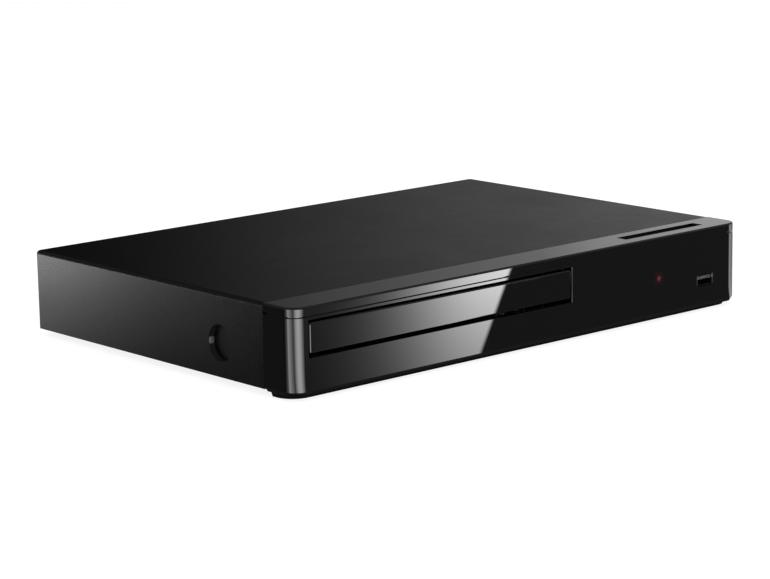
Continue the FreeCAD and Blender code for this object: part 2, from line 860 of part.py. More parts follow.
def tray_door():
    body = new_body()
    x = (loader_x - S.door_width / 2, loader_x + S.door_width / 2)
    z = (S.door_bottom, S.door_bottom + S.door_height)
    pad(body, "Y", (as_size(0), S.door_thick), rounded(x, z, S.door_corner))
    soften(body, "Fillet", "Radius", S.door_round, x, (0, 0), z)
    ribs = []
    for side in (-1, 1):
        middle = loader_x + side * (S.door_width / 2 - S.rib_end_gap)
        ribs.append(rectangle((middle - 1, middle + 1), (z[0] + 1, z[1] - 1)))
    pad(body, "Y", (S.door_thick / 2, S.door_thick + 1.5), *ribs)
    node("tray_door", body)


def disc_tray():
    body = new_body()
    reach = S.tray_half_width
    x = (loader_x - reach, loader_x + reach)
    y = (tray_front, tray_front + S.tray_length)
    corner = as_size(3.0)
    pad(body, "Z", (S.tray_plate_z, S.tray_rim_z), rounded(x, y, corner))
    for side in (-1, 1):
        edge = loader_x + side * reach
        inner = edge - side * S.tray_rail
        rail = (edge, inner) if side < 0 else (inner, edge)
        pad(body, "Z", (S.tray_rail_z, S.tray_plate_z + 0.5), rectangle(rail, (y[0] + 4, y[1] - 3)))
    centre = (loader_x, S.disc_y)
    pocket(body, "Z", (S.disc_pocket_z, S.tray_rim_z + 1), (*centre, S.disc_pocket_radius))
    pocket(body, "Z", (S.small_pocket_z, S.disc_pocket_z + 1), (*centre, S.small_pocket_radius))
    scoops = [(loader_x + side * S.disc_pocket_radius, S.disc_y, as_size(11)) for side in (-1, 1)]
    pocket(body, "Z", (S.small_pocket_z, S.tray_rim_z + 1), *scoops)
    half = S.tray_slot_width / 2
    slot = [
        (loader_x - half, y[1] + 1), (loader_x - half, S.disc_y, half), (loader_x, S.disc_y - half, half),
        (loader_x + half, S.disc_y), (loader_x + half, y[1] + 1),
    ]
    pocket(body, "Z", (S.tray_plate_z - 1, S.tray_rim_z + 1), slot)
    node("disc_tray", join(body, tray_rack()))


# Gears

def involute(angle):
    return math.tan(angle) - angle


def gear_prism(teeth, module, phase, x, y, span):
    """Spur gear with three points along each involute flank, and one tooth at the phase angle."""
    pressure = math.radians(20)
    pitch = module * teeth / 2
    base = pitch * math.cos(pressure)
    root, tip = pitch - 1.2 * module, pitch + 0.85 * module
    half_tooth = (math.pi * module / 2 - S.backlash.number) / (2 * pitch)

    def flank(radius):
        at = math.acos(min(1.0, base / radius)) if radius > base else 0.0
        return half_tooth + involute(pressure) - involute(at)

    radii = [root, pitch, tip]
    points = []
    for tooth in range(teeth):
        middle = phase + 2 * math.pi * tooth / teeth
        turns = [(radius, middle - flank(radius)) for radius in radii]
        turns += [(radius, middle + flank(radius)) for radius in reversed(radii)]
        points += [Vector(x + r * math.cos(a), y + r * math.sin(a), span[0]) for r, a in turns]
    wire = Part.makePolygon(points + points[:1])
    return Part.Face(wire).extrude(Vector(0, 0, span[1] - span[0]))


def tray_rack():
    """Straight rack below the tray; a gap between teeth faces the drive gear at rest."""
    module = S.rack_module.number
    step = math.pi * module
    gear_x = loader_x.number + S.drive_gear_dx.number
    pitch_x = gear_x + module * S.rack_pinion_teeth.number / 2
    half_tip = step / 4 - S.backlash.number / 2 - 0.85 * module * math.tan(math.radians(20))
    half_root = step / 4 - S.backlash.number / 2 + 1.2 * module * math.tan(math.radians(20))
    back_x = pitch_x + 4.5
    gear_y = S.drive_gear_y.number
    front = tray_front.number + 12
    back = tray_front.number + S.tray_length.number
    first = math.ceil((front - gear_y) / step - 0.5)
    last = math.floor((back - gear_y) / step - 1.1)
    points = [Vector(back_x, gear_y + (first - 0.1) * step, 0)]
    points.append(Vector(pitch_x + 1.2 * module, points[0].y, 0))
    for tooth in range(first, last + 1):
        middle = gear_y + (tooth + 0.5) * step
        for dx, dy in ((1.2, -half_root), (-0.85, -half_tip), (-0.85, half_tip), (1.2, half_root)):
            points.append(Vector(pitch_x + dx * module, middle + dy, 0))
    end = gear_y + (last + 1.1) * step
    points += [Vector(pitch_x + 1.2 * module, end, 0), Vector(back_x, end, 0)]
    for point in points:
        point.z = S.tray_rail_z.number
    wire = Part.makePolygon(points + points[:1])
    height = S.tray_plate_z.number + 0.5 - S.tray_rail_z.number
    return solid(Part.Face(wire).extrude(Vector(0, 0, height)))


drive_x = loader_x + S.drive_gear_dx
train_distance = S.train_module * (S.drive_teeth + S.pulley_pinion_teeth) / 2
pulley_x = drive_x + train_distance * size_cos(S.train_angle)
pulley_y = S.drive_gear_y + train_distance * size_sin(S.train_angle)
motor_x = pulley_x + 2
motor_y = pulley_y + S.motor_dy
train_top = S.train_z + S.train_face
pinion_top = S.tray_plate_z - S.slide_gap
bore_radius = S.gear_stud + S.running_fit


def drive_gear():
    """Large wheel below, driven by the pulley gear, and the pinion above it that drives the rack."""
    x, y = drive_x.number, S.drive_gear_y.number
    angle = math.radians(S.train_angle.number)
    wheel = gear_prism(int(S.drive_teeth.number), S.train_module.number, angle, x, y,
                       (S.train_z.number, train_top.number))
    pinion = gear_prism(int(S.rack_pinion_teeth.number), S.rack_module.number, 0.0, x, y,
                        (train_top.number, pinion_top.number))
    bore = rod("Z", (S.train_z - 1, pinion_top + 1), drive_x, S.drive_gear_y, bore_radius)
    node("drive_gear", cut(join(solid(wheel), solid(pinion)), bore))


def pulley_gear():
    """Grooved pulley above and the small pinion below it that turns the drive gear."""
    x, y = pulley_x.number, pulley_y.number
    teeth = int(S.pulley_pinion_teeth.number)
    facing = math.radians(S.train_angle.number) + math.pi
    pinion = gear_prism(teeth, S.train_module.number, facing + math.pi / teeth, x, y,
                        (S.train_z.number, train_top.number))
    neck = rod("Z", (train_top - 0.5, S.pulley_z), pulley_x, pulley_y, as_size(3.2))
    bore = rod("Z", (S.train_z - 1, S.pulley_z + S.pulley_thick + 1), pulley_x, pulley_y, bore_radius)
    wheel = grooved_pulley(pulley_x, pulley_y, S.pulley_radius)
    node("pulley_gear", cut(join(solid(pinion), neck, wheel), bore))


def grooved_pulley(x, y, radius):
    """Disc with a square groove that holds the belt."""
    disc = rod("Z", (S.pulley_z, S.pulley_z + S.pulley_thick), x, y, radius)
    middle = S.pulley_z + S.pulley_thick / 2
    reach = S.belt_width / 2 + 0.1
    ring = cut(rod("Z", (middle - reach, middle + reach), x, y, radius + 1),
               rod("Z", (middle - reach - 1, middle + reach + 1), x, y, radius - 1))
    return cut(disc, ring)


def motor_pulley():
    bore = rod("Z", (S.pulley_z - 1, S.pulley_z + S.pulley_thick + 1), motor_x, motor_y, 1 + S.running_fit)
    node("motor_pulley", cut(grooved_pulley(motor_x, motor_y, S.motor_pulley_radius), bore))


def belt_face(inner):
    """Plan of the band round both pulleys at an offset from their groove bottoms."""
    big = Vector(pulley_x.number, pulley_y.number, 0)
    small = Vector(motor_x.number, motor_y.number, 0)
    big_radius = S.pulley_radius.number - 1 + inner
    small_radius = S.motor_pulley_radius.number - 1 + inner
    line = small - big
    heading = math.atan2(line.y, line.x)
    lean = math.acos((big_radius - small_radius) / line.Length)

    def spot(centre, radius, angle):
        return centre + Vector(radius * math.cos(angle), radius * math.sin(angle), 0)

    left, right = heading + lean, heading - lean
    edges = [
        Part.Arc(spot(big, big_radius, left), spot(big, big_radius, heading + math.pi),
                 spot(big, big_radius, right)).toShape(),
        Part.LineSegment(spot(big, big_radius, right), spot(small, small_radius, right)).toShape(),
        Part.Arc(spot(small, small_radius, right), spot(small, small_radius, heading),
                 spot(small, small_radius, left)).toShape(),
        Part.LineSegment(spot(small, small_radius, left), spot(big, big_radius, left)).toShape(),
    ]
    return Part.Face(Part.Wire(edges))


def drive_belt():
    width = S.belt_width.number
    gap = 0.1
    low = S.pulley_z.number + (S.pulley_thick.number - width) / 2
    band = belt_face(gap + width).cut(belt_face(gap))
    band.translate(Vector(0, 0, low))
    node("drive_belt", group(solid(band.extrude(Vector(0, 0, width)))))


def loading_motor():
    can = rod("Z", (floor_top, S.pulley_z - 1), motor_x, motor_y, S.motor_radius)
    shaft = rod("Z", (S.pulley_z - 1.5, S.pulley_z + S.pulley_thick), motor_x, motor_y, as_size(1))
    node("loading_motor", join(can, shaft))


# Loader frame, bridge and clamper

def side_span(side, near, far):
    """Low and high x of something between two distances from the loader's middle line."""
    if side < 0:
        return (loader_x - far, loader_x - near)
    return (loader_x + near, loader_x + far)


def loader_frame():
    body = new_body()
    inner, outer = S.loader_half_width, S.loader_half_width + S.loader_wall
    y = (S.loader_front_y, S.loader_rear_y)
    well_reach = S.traverse_half_width + 1.5
    well = rectangle((loader_x - well_reach, loader_x + well_reach),
                     (S.traverse_front_y - 2, S.hinge_y + 3))
    plate = rectangle((loader_x - outer, loader_x + outer), y)
    pad(body, "Z", (frame_z, floor_top), plate, well)
    for side in (-1, 1):
        wall = rectangle(side_span(side, inner, outer), (y[0] + 2, y[1] - 2))
        pad(body, "Z", (floor_top - 0.5, S.frame_wall_top), wall)
        ledge = side_span(side, inner - 3.4, inner + 0.5)
        pad(body, "Z", (S.tray_rail_z - S.slide_gap - 1.6, S.tray_rail_z - S.slide_gap),
            rectangle(ledge, (y[0] + 2, y[1] - 2)))
    half = S.lug_half_width
    lugs = [square(lug_x(side), place, half) for side, place in LUGS]
    for lug in lugs:
        pad(body, "Z", (frame_z, floor_top), lug)
    necks = [square(lug_x(side), place, S.damper_neck + 0.2) for side, place in LUGS]
    pocket(body, "Z", (frame_z - 1, floor_top + 1), *necks)
    rear = rectangle((loader_x - outer, loader_x + outer), (y[1] - 2.5, y[1]))
    pad(body, "Z", (floor_top - 0.5, S.tray_rail_z - 2), rear)
    studs = [
        rod("Z", (floor_top - 0.5, pinion_top - 0.2), drive_x, S.drive_gear_y, S.gear_stud),
        rod("Z", (floor_top - 0.5, S.train_z - S.slide_gap), drive_x, S.drive_gear_y, as_size(3.2)),
        rod("Z", (floor_top - 0.5, S.pulley_z + S.pulley_thick - 0.2), pulley_x, pulley_y, S.gear_stud),
        rod("Z", (floor_top - 0.5, S.train_z - S.slide_gap), pulley_x, pulley_y, as_size(3.2)),
    ]
    guides = [
        block(cam_guide_x, (S.cam_y - S.slide_gap - 1.4, S.cam_y - S.slide_gap),
              (floor_top - 0.5, floor_top + 1.5)),
        block(cam_guide_x, (S.cam_y + S.cam_thick + S.slide_gap, S.traverse_front_y - 2),
              (floor_top - 0.5, floor_top + 1.5)),
    ]
    bearings = []
    for side in (-1, 1):
        arm = side_span(side, S.traverse_half_width + 1.5, S.traverse_half_width + 5)
        upright = block(arm, (S.hinge_y - 4.5, S.hinge_y + 4.5), (floor_top - 0.5, S.hinge_z + 4))
        hole = rod("X", (arm[0] - 1, arm[1] + 1), S.hinge_y, S.hinge_z, S.hinge_pin + S.running_fit)
        bearings.append(cut(upright, hole))
    node("loader_frame", join(body, *studs, *guides, *bearings))


cam_left = loader_x + S.lift_pin_left - S.lift_pin - S.cam_slot_gap - 4
cam_right = loader_x + S.lift_pin_right + S.cam_travel + S.lift_pin + S.cam_slot_gap + 4
cam_guide_x = (cam_left - S.cam_travel - 2, cam_right + 2)


def dampers():
    """Rubber bushes on the chassis posts, with square necks that hold the loader frame by its lugs."""
    for (side, place), end in zip(LUGS, ("front_left", "front_right", "rear_left", "rear_right")):
        body = new_body()
        neck = square(as_size(0), as_size(0), S.damper_neck)
        pad(body, "Z", (post_top, frame_z), (as_size(0), as_size(0), S.damper_radius))
        pad(body, "Z", (frame_z - 0.5, floor_top + S.damper_flange), neck)
        node(f"loader_damper_{end}", body, x=lug_x(side), y=place)


def clamp_bridge():
    body = new_body()
    outer = S.loader_half_width + S.loader_wall
    x = (loader_x - outer, loader_x + outer)
    y = (S.disc_y - S.bridge_width / 2, S.disc_y + S.bridge_width / 2)
    z = (S.frame_wall_top, S.frame_wall_top + S.bridge_gauge)
    pad(body, "Z", z, rectangle(x, y), (loader_x, S.disc_y, S.bridge_hole))
    edges = (y[0], y[1] - S.bridge_gauge)
    stiffeners = [rectangle((x[0] + 8, x[1] - 8), (low, low + S.bridge_gauge)) for low in edges]
    pad(body, "Z", (z[0] + 0.2, z[1] + 2.5), *stiffeners)
    node("clamp_bridge", body)


def disc_clamper():
    """Turned clamper that hangs by its top flange in the bridge's hole."""
    body = new_body()
    low, seat = S.clamp_pad_z, S.frame_wall_top + S.bridge_gauge + S.slide_gap
    revolve(body, [
        (S.clamp_recess, low), (S.clamp_pad_radius, low), (S.clamp_pad_radius, low + 2.4),
        (S.clamp_neck_radius, low + 2.4), (S.clamp_neck_radius, seat), (S.clamp_top_radius, seat),
        (S.clamp_top_radius, seat + 1.4), (0, seat + 1.4), (0, low + 4.2), (S.clamp_recess, low + 4.2),
    ])
    node("disc_clamper", body, x=loader_x, y=S.disc_y)


def clamper_yoke():
    seat = S.frame_wall_top + S.bridge_gauge + S.slide_gap + 1.4
    node("clamper_yoke", group(rod("Z", (seat, seat + 0.8), loader_x, S.disc_y, as_size(9))))


# Traverse, spindle and pickup

def traverse_frame():
    body = new_body()
    reach = S.traverse_half_width
    y = (S.traverse_front_y, S.traverse_rear_y)
    z = (S.traverse_z, S.traverse_top_z)
    x = (loader_x - reach, loader_x + reach)
    window = rectangle((loader_x + S.screw_x - S.sled_motor_radius - 0.5, loader_x + reach - 9),
                       (y[0] + 5, y[1] - 9))
    pad(body, "Z", z, rectangle(x, y), window)
    relief = rectangle((x[1] - 7, x[1] - 2), (y[0] + 8, y[1] - 12))
    pocket(body, "Z", (z[1] - 2.5, z[1] + 1), relief)
    pins = [rod("Y", (S.cam_y - 0.4, y[0] + 1), loader_x + dx, S.lift_pin_z, S.lift_pin)
            for dx in (S.lift_pin_left, S.lift_pin_right)]
    trunnions = []
    for side in (-1, 1):
        ear = side_span(side, reach - 4, reach)
        trunnions.append(block(ear, (y[1] - 2, S.hinge_y + 3), z))
        trunnions.append(rod("X", side_span(side, reach - 1, reach + 5), S.hinge_y, S.hinge_z, S.hinge_pin))
    seat = S.rod_radius + 0.02
    bores = []
    for side in (-1, 1):
        middle = loader_x + side * S.rod_half_pitch
        bores.append(block((middle - seat, middle + seat), (y[0] + 1.5, y[1] - 1.5),
                           (S.rod_z - seat, S.rod_z + seat)))
    bores.append(rod("Y", (y[1] - 10, y[1] - 1.5), loader_x + S.screw_x, S.rod_z,
                     S.screw_radius + S.running_fit))
    node("traverse_frame", cut(join(body, *pins, *trunnions), *bores))


def spindle_motor():
    """Steel base, fixed across the traverse, with the stator that the rotor turns on."""
    base_z = S.traverse_top_z - 3.4
    base = block((loader_x - 19.5, loader_x + 19.5), (S.traverse_front_y + 5, S.disc_y + 13),
                 (base_z, base_z + 1))
    stator = rod("Z", (base_z + 0.5, S.rotor_base_z - S.slide_gap), loader_x, S.disc_y, S.stator_radius)
    bore = rod("Z", (base_z - 1, S.rotor_base_z + 1), loader_x, S.disc_y, S.spindle_shaft + S.running_fit)
    node("spindle_motor", cut(join(base, stator), bore))


def turntable():
    """Rotor, disc seat and centring cone turned as one, with the shaft below."""
    body = new_body()
    seat, radius, foot = S.turntable_z, S.turntable_radius, S.traverse_top_z - 3.6
    revolve(body, [
        (0, foot), (S.spindle_shaft, foot), (S.spindle_shaft, S.rotor_base_z),
        (S.rotor_radius, S.rotor_base_z), (S.rotor_radius, seat - 2.2), (radius, seat - 2.2), (radius, seat), (S.hub_radius, seat),
        (S.hub_radius - 1.6, seat + S.hub_height), (0, seat + S.hub_height),
    ])
    node("turntable", body, x=loader_x, y=S.disc_y)


def guide_rods():
    for side, label in ((-1, "guide_rod_left"), (1, "guide_rod_right")):
        x = loader_x + side * S.rod_half_pitch
        bar = rod("Y", (S.traverse_front_y + 2, S.traverse_rear_y - 2), x, S.rod_z, S.rod_radius)
        node(label, group(bar))


def sled_motor():
    x = loader_x + S.screw_x
    front = S.traverse_front_y + 5
    can = rod("Y", (front, front + 11), x, S.rod_z, S.sled_motor_radius)
    bore = rod("Y", (front + 5, front + 12), x, S.rod_z, as_size(1) + S.running_fit)
    node("sled_motor", cut(can, bore))


def lead_screw():
    x = loader_x + S.screw_x
    front = S.traverse_front_y + 5
    shaft = rod("Y", (front + 6, front + 12), x, S.rod_z, as_size(1))
    thread = rod("Y", (front + 11.3, S.traverse_rear_y - 3), x, S.rod_z, S.screw_radius)
    node("lead_screw", join(shaft, thread))


def pickup_sled():
    y = (S.sled_front_y, S.sled_front_y + S.sled_length)
    pitch = S.rod_half_pitch
    low = S.rod_z - 3.2
    x = (loader_x - pitch - 3.5, loader_x + pitch + 3.0)
    deck = block(x, y, (low, S.rod_z + 3.2))
    hump = block((loader_x - 13, loader_x + 13), (y[0] + 1, y[1] - 6), (S.rod_z, S.sled_top_z))
    arm = block((loader_x + S.screw_x - 3.2, x[0] + 1), (y[0] + 8, y[0] + 14), (S.rod_z - 3, S.rod_z + 3))
    through = (y[0] - 1, y[1] + 1)
    fork_x = (loader_x + pitch - S.rod_radius - 0.1, x[1] + 1)
    tools = [
        rod("Y", through, loader_x - pitch, S.rod_z, S.rod_radius + S.running_fit),
        block(fork_x, through, (S.rod_z - S.rod_radius - 0.08, S.rod_z + S.rod_radius + 0.08)),
        rod("Y", through, loader_x + S.screw_x, S.rod_z, S.screw_radius + S.slide_gap),
        rod("Z", (S.sled_top_z - 2.5, S.sled_top_z + 1), loader_x, S.lens_y, as_size(4.5)),
    ]
    node("pickup_sled", cut(join(deck, hump, arm), *tools))


def objective_lens():
    """Lens in its holder, standing in the well of the sled."""
    low = S.sled_top_z - 2.5
    body = new_body()
    revolve(body, [
        (0, low), (4.2, low), (4.2, low + 2.8), (S.lens_radius * 0.6, low + 3.8), (0, low + 3.8),
    ])
    node("objective_lens", body, x=loader_x, y=S.lens_y)


def cam_slider():
    """Upright plate with two sloping slots that carry the traverse's lift pins."""
    body = new_body()
    low, high = floor_top + S.slide_gap, S.lift_pin_z + S.lift_pin + S.cam_slot_gap + 1.6
    y = (S.cam_y, S.cam_y + S.cam_thick)
    pad(body, "Y", y, rectangle((cam_left, cam_right), (low, high)))
    half = S.lift_pin + S.cam_slot_gap
    for dx in (S.lift_pin_left, S.lift_pin_right):
        pocket(body, "Y", (y[0] - 1, y[1] + 1), sloping_slot(loader_x + dx, S.lift_pin_z, half))
    node("cam_slider", body)


def sloping_slot(x, z, half):
    """Slot from the pin's high place down to its low place one cam travel to the right."""
    run, drop = S.cam_travel.number, S.lift_drop.number
    length = math.hypot(run, drop)
    ux, uz = as_size(run / length), as_size(-drop / length)
    end_x, end_z = x + S.cam_travel, z - S.lift_drop
    return [
        (x - uz * half * -1, z - ux * half, -half), (x - ux * half, z - uz * half, -half),
        (x - uz * half, z + ux * half), (end_x - uz * half, end_z + ux * half, -half),
        (end_x + ux * half, end_z + uz * half, -half), (end_x + uz * half, end_z - ux * half),
    ]


# Circuit boards

def main_board():
    half = main_board_width / 2
    plate = block((main_board_x - half, main_board_x + half), (S.main_board_y, panel_y - 1),
                  (board_z, board_top))
    node("main_board", group(plate))


def power_board():
    half = S.power_board_width / 2
    plate = block((power_board_x - half, power_board_x + half), (S.power_board_y, panel_y - 1),
                  (board_z, board_top))
    node("power_board", group(plate))


sink_x = main_board_x
sink_y = S.main_board_y + 42


def processor():
    half = S.heat_sink_side / 2 - 4
    case = block((sink_x - half, sink_x + half), (sink_y - half, sink_y + half),
                 (board_top, board_top + 1.6))
    node("processor", group(case))


def heat_sink():
    """Extruded sink: a base plate with a row of upright fins."""
    half = S.heat_sink_side / 2
    base_z = board_top + 1.6
    count = int(S.fin_count.number)
    pitch = (S.heat_sink_side - S.fin_thick) / (count - 1)
    body = new_body()
    pad(body, "Z", (base_z, base_z + 2.5), square(sink_x, sink_y, half))
    fins = []
    for index in range(count):
        x = sink_x - half + index * pitch
        fins.append(rectangle((x, x + S.fin_thick), (sink_y - half, sink_y + half)))
    pad(body, "Z", (base_z + 2, base_z + 2.5 + S.fin_height), *fins)
    node("heat_sink", body)


def capacitors():
    """Upright electrolytic cans: a row on the main board, and larger ones on the power board."""
    left = main_board_left
    cans = [(left + 10 + 9 * index, S.main_board_y + 14, 3.15, 8) for index in range(2)]
    cans += [
        (power_board_x - 12, S.power_board_y + 88, 8, 24),
        (power_board_x + 14, S.power_board_y + 30, 5, 16),
    ]
    rods = [rod("Z", (board_top, board_top + height), x, y, radius) for x, y, radius, height in cans]
    node("capacitors", group(*rods))


def transformer():
    x, y = power_board_x - 4, S.power_board_y + 56
    core = block((x - 13, x + 13), (y - 11, y + 11), (board_top + 4, board_top + 19))
    window = block((x - 9, x + 9), (y - 12, y + 12), (board_top + 8, board_top + 15))
    bobbin = block((x - 9, x + 9), (y - 14, y + 14), (board_top, board_top + 21))
    node("transformer", join(cut(core, window), bobbin))


def power_heat_sink():
    """Folded sheet sink beside the transformer, with the switching transistor's face on it."""
    x, y = power_board_x + 18, S.power_board_y + 58
    upright = block((x, x + 2), (y - 16, y + 16), (board_top, board_top + 24))
    foot = block((x - 5, x + 1), (y - 16, y + 16), (board_top + 22, board_top + 24))
    device = block((x - 4, x + 0.5), (y - 5, y + 5), (board_top + 2, board_top + 16))
    node("power_heat_sink", join(upright, foot, device))


def socket_block(x, kind, front=1.0):
    y = (panel_y + S.steel_gauge + front - kind.depth, panel_y + S.steel_gauge + front)
    return block((x - kind.width / 2, x + kind.width / 2), y, (kind.low, kind.low + kind.height)), y


def hdmi_socket():
    case, y = socket_block(hdmi_x, HDMI)
    x, z = hdmi_x, HDMI.low + HDMI.height / 2
    mouth = block((x - 7, x + 7), (y[1] - 8, y[1] + 1), (z - 2.3, z + 2.3))
    tongue = block((x - 6, x + 6), (y[1] - 9, y[1] - 1), (z - 0.1, z + 1.0))
    node("hdmi_socket", join(cut(case, mouth), tongue))


def lan_socket():
    case, y = socket_block(lan_x, LAN)
    x, z = lan_x, LAN.low + LAN.height / 2
    mouth = block((x - 5.9, x + 5.9), (y[1] - 12, y[1] + 1), (z - 4.6, z + 3.2))
    latch = block((x - 3.2, x + 3.2), (y[1] - 12, y[1] + 1), (z + 2, z + 5.2))
    node("lan_socket", cut(case, mouth, latch))


def coax_socket():
    """Jack barrel that stands out of the rear panel, on its block behind the panel."""
    z = S.socket_z
    face = panel_y
    reach = face + S.steel_gauge + S.jack_reach - S.steel_gauge
    case = block((coax_x - 5.5, coax_x + 5.5), (face - 11, face), (board_top, z + 6))
    barrel = rod("Y", (face - 1, reach), coax_x, z, S.jack_radius)
    bore = rod("Y", (reach - 7, reach + 1), coax_x, z, as_size(1.7))
    node("coax_socket", cut(join(case, barrel), bore))


def power_inlet():
    """Two-pole inlet with a figure-eight mouth and its two pins."""
    case, y = socket_block(inlet_x, INLET)
    x, z = inlet_x, INLET.low + INLET.height / 2
    pitch, mouth_radius = 4.3, 4.1
    mouth = [rod("Y", (y[1] - 12, y[1] + 1), x + side * pitch, z, as_size(mouth_radius))
             for side in (-1, 1)]
    web = block((x - pitch, x + pitch), (y[1] - 12, y[1] + 1), (z - 3.2, z + 3.2))
    pins = [rod("Y", (y[1] - 14, y[1] - 2), x + side * pitch, z, as_size(1.15)) for side in (-1, 1)]
    node("power_inlet", join(cut(case, *mouth, web), *pins))


# Flat cables

def ribbon(x, width, thick, route):
    """Flat cable: straight runs in the YZ plane with mitred folds, carried across its width."""
    spots = [Vector(0, y, z) for y, z in route]
    upper, lower = [], []
    for index, spot in enumerate(spots):
        before = (spot - spots[index - 1]).normalize() if index else None
        after = (spots[index + 1] - spot).normalize() if index + 1 < len(spots) else None
        lead = before or after
        follow = after or before
        normal = Vector(0, -(lead.z + follow.z), lead.y + follow.y).normalize()
        cosine = abs(normal.z * lead.y - normal.y * lead.z)
        step = normal * (thick / 2 / cosine)
        upper.append(spot + step)
        lower.append(spot - step)
    points = upper + lower[::-1]
    face = Part.Face(Part.makePolygon(points + points[:1]))
    face.translate(Vector(x - width / 2, 0, 0))
    return solid(face.extrude(Vector(width, 0, 0)))


def flat_cables():
    top = board_top.number
    thick = 0.3
    back = S.front_board_y.number + S.board_thick.number
    start_y, board_y = back + 2.6, S.main_board_y.number
    x = key_slot_x.number - S.key_slot_length.number / 2 - 2.5
    route = [
        (start_y, top + 6.0), (start_y + 8, top + 1.2), (board_y - 6, top + 1.2), (board_y + 3, top + 1.9),
    ]
    plugs = [
        block((x - 8, x + 8), (back, back + 2.6), (top + 4, top + 8)),
        block((x - 8, x + 8), (board_y + 3, board_y + 7), (board_top, board_top + 2.6)),
    ]
    node("front_flat_cable", group(join(ribbon(x, 13, thick, route), *plugs)))
    side = loader_x + S.loader_half_width + S.loader_wall
    low = floor_top + 8
    y = S.main_board_y + 44
    edge = main_board_left
    strap = block((side, edge + 6), (y - 8, y + 8), (low, low + thick))
    drop = block((edge + 6 - thick, edge + 6), (y - 8, y + 8), (board_top + 2, low + thick))
    plug = block((edge + 3.5, edge + 8), (y - 9, y + 9), (board_top, board_top + 2.6))
    node("loader_flat_cable", join(strap, drop, plug))
    left = main_board_x + main_board_width / 2 - 4
    right = power_board_x - S.power_board_width / 2 + 4
    y = S.main_board_y + 22
    plugs = [block((px - 2.5, px + 2.5), (y - 7, y + 7), (board_top, board_top + 6))
             for px in (left, right)]
    ribbon_cable = block((left, right), (y - 5, y + 5), (board_top + 3.4, board_top + 4.6))
    node("power_harness", join(*plugs, ribbon_cable))


def check_document():
    """Stops the build where a feature failed, a cut took nothing away or a sub-part has no solid."""
    for item in doc.Objects:
        if "Invalid" in item.State or "Error" in item.State:
            raise RuntimeError(f"{item.Name} ({item.Label}) did not compute: {item.State}")
        if item.TypeId == "PartDesign::Pocket":
            if item.Shape.Volume > item.BaseFeature.Shape.Volume - 1e-3:
                raise RuntimeError(f"{item.Name} cuts nothing")
    for item in NODES:
        if item.Shape.isNull() or not item.Shape.isValid() or not item.Shape.Solids:
            raise RuntimeError(f"{item.Label} has no valid solid")


def build():
    top_cover()
    bottom_chassis()
    rear_panel()
    feet()
    front_fascia()
    front_top_trim()
    keys()
    led_lens()
    front_board()
    key_switches()
    status_led()
    infrared_receiver()
    usb_socket()
    tray_door()
    disc_tray()
    drive_gear()
    pulley_gear()
    motor_pulley()
    drive_belt()
    loading_motor()
    loader_frame()
    dampers()
    clamp_bridge()
    disc_clamper()
    clamper_yoke()
    traverse_frame()
    spindle_motor()
    turntable()
    guide_rods()
    sled_motor()
    lead_screw()
    pickup_sled()
    objective_lens()
    cam_slider()
    main_board()
    power_board()
    processor()
    heat_sink()
    capacitors()
    transformer()
    power_heat_sink()
    hdmi_socket()
    lan_socket()
    coax_socket()
    power_inlet()
    flat_cables()
    doc.recompute()


build()
check_document()
for item in NODES:
    item.Shape.exportStep(os.path.join("parts", f"{item.Label}.step"))
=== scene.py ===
"""Slim disc player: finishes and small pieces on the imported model, with its studio and camera."""
import json
import math

import bmesh
import bpy
import numpy as np
from mathutils import Matrix, Vector


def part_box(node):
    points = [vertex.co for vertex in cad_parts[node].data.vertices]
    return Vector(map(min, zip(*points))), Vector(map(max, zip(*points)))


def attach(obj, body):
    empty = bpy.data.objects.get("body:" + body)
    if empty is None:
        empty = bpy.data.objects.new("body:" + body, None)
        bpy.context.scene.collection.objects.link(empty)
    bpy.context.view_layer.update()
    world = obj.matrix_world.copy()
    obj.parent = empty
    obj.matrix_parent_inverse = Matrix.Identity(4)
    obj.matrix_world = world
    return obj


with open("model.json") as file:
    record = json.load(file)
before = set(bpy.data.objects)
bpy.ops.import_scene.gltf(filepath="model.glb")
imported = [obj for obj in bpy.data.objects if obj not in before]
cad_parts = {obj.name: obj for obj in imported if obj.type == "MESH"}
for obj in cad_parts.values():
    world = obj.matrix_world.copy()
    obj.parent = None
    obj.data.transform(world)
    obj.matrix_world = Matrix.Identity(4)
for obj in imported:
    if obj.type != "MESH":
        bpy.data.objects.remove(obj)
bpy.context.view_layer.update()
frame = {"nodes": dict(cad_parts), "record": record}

# The body in millimetres, in the frame that it shares with the CAD
MM = 0.001
HALF_WIDTH = 156.0
FRONT_Y = -107.95
BODY_DEPTH = 210.0
STEEL_GAUGE = 0.8
SLOT_OF = {part["node"]: part["material_slot"] for part in frame["record"]["subparts"]}


# Node helpers

def group_tree(name, inputs, outputs):
    """An empty shader group with named inputs and outputs."""
    tree = bpy.data.node_groups.new(name, "ShaderNodeTree")
    for label, kind, value in inputs:
        socket = tree.interface.new_socket(label, in_out="INPUT", socket_type=kind)
        if value is not None:
            socket.default_value = value
    for label, kind in outputs:
        tree.interface.new_socket(label, in_out="OUTPUT", socket_type=kind)
    return tree, tree.nodes.new("NodeGroupInput"), tree.nodes.new("NodeGroupOutput")


def feed(tree, socket, value):
    """Link another node's output to a socket, or set a plain value on it."""
    if isinstance(value, bpy.types.NodeSocket):
        tree.links.new(value, socket)
    else:
        socket.default_value = value


def add_node(tree, kind, settings=None, **values):
    """A node with its properties set, and its inputs fed by name, or by number as in i0."""
    node = tree.nodes.new(kind)
    for key, value in (settings or {}).items():
        setattr(node, key, value)
    for key, value in values.items():
        numbered = key[0] == "i" and key[1:].isdigit()
        feed(tree, node.inputs[int(key[1:]) if numbered else key.replace("_", " ")], value)
    return node


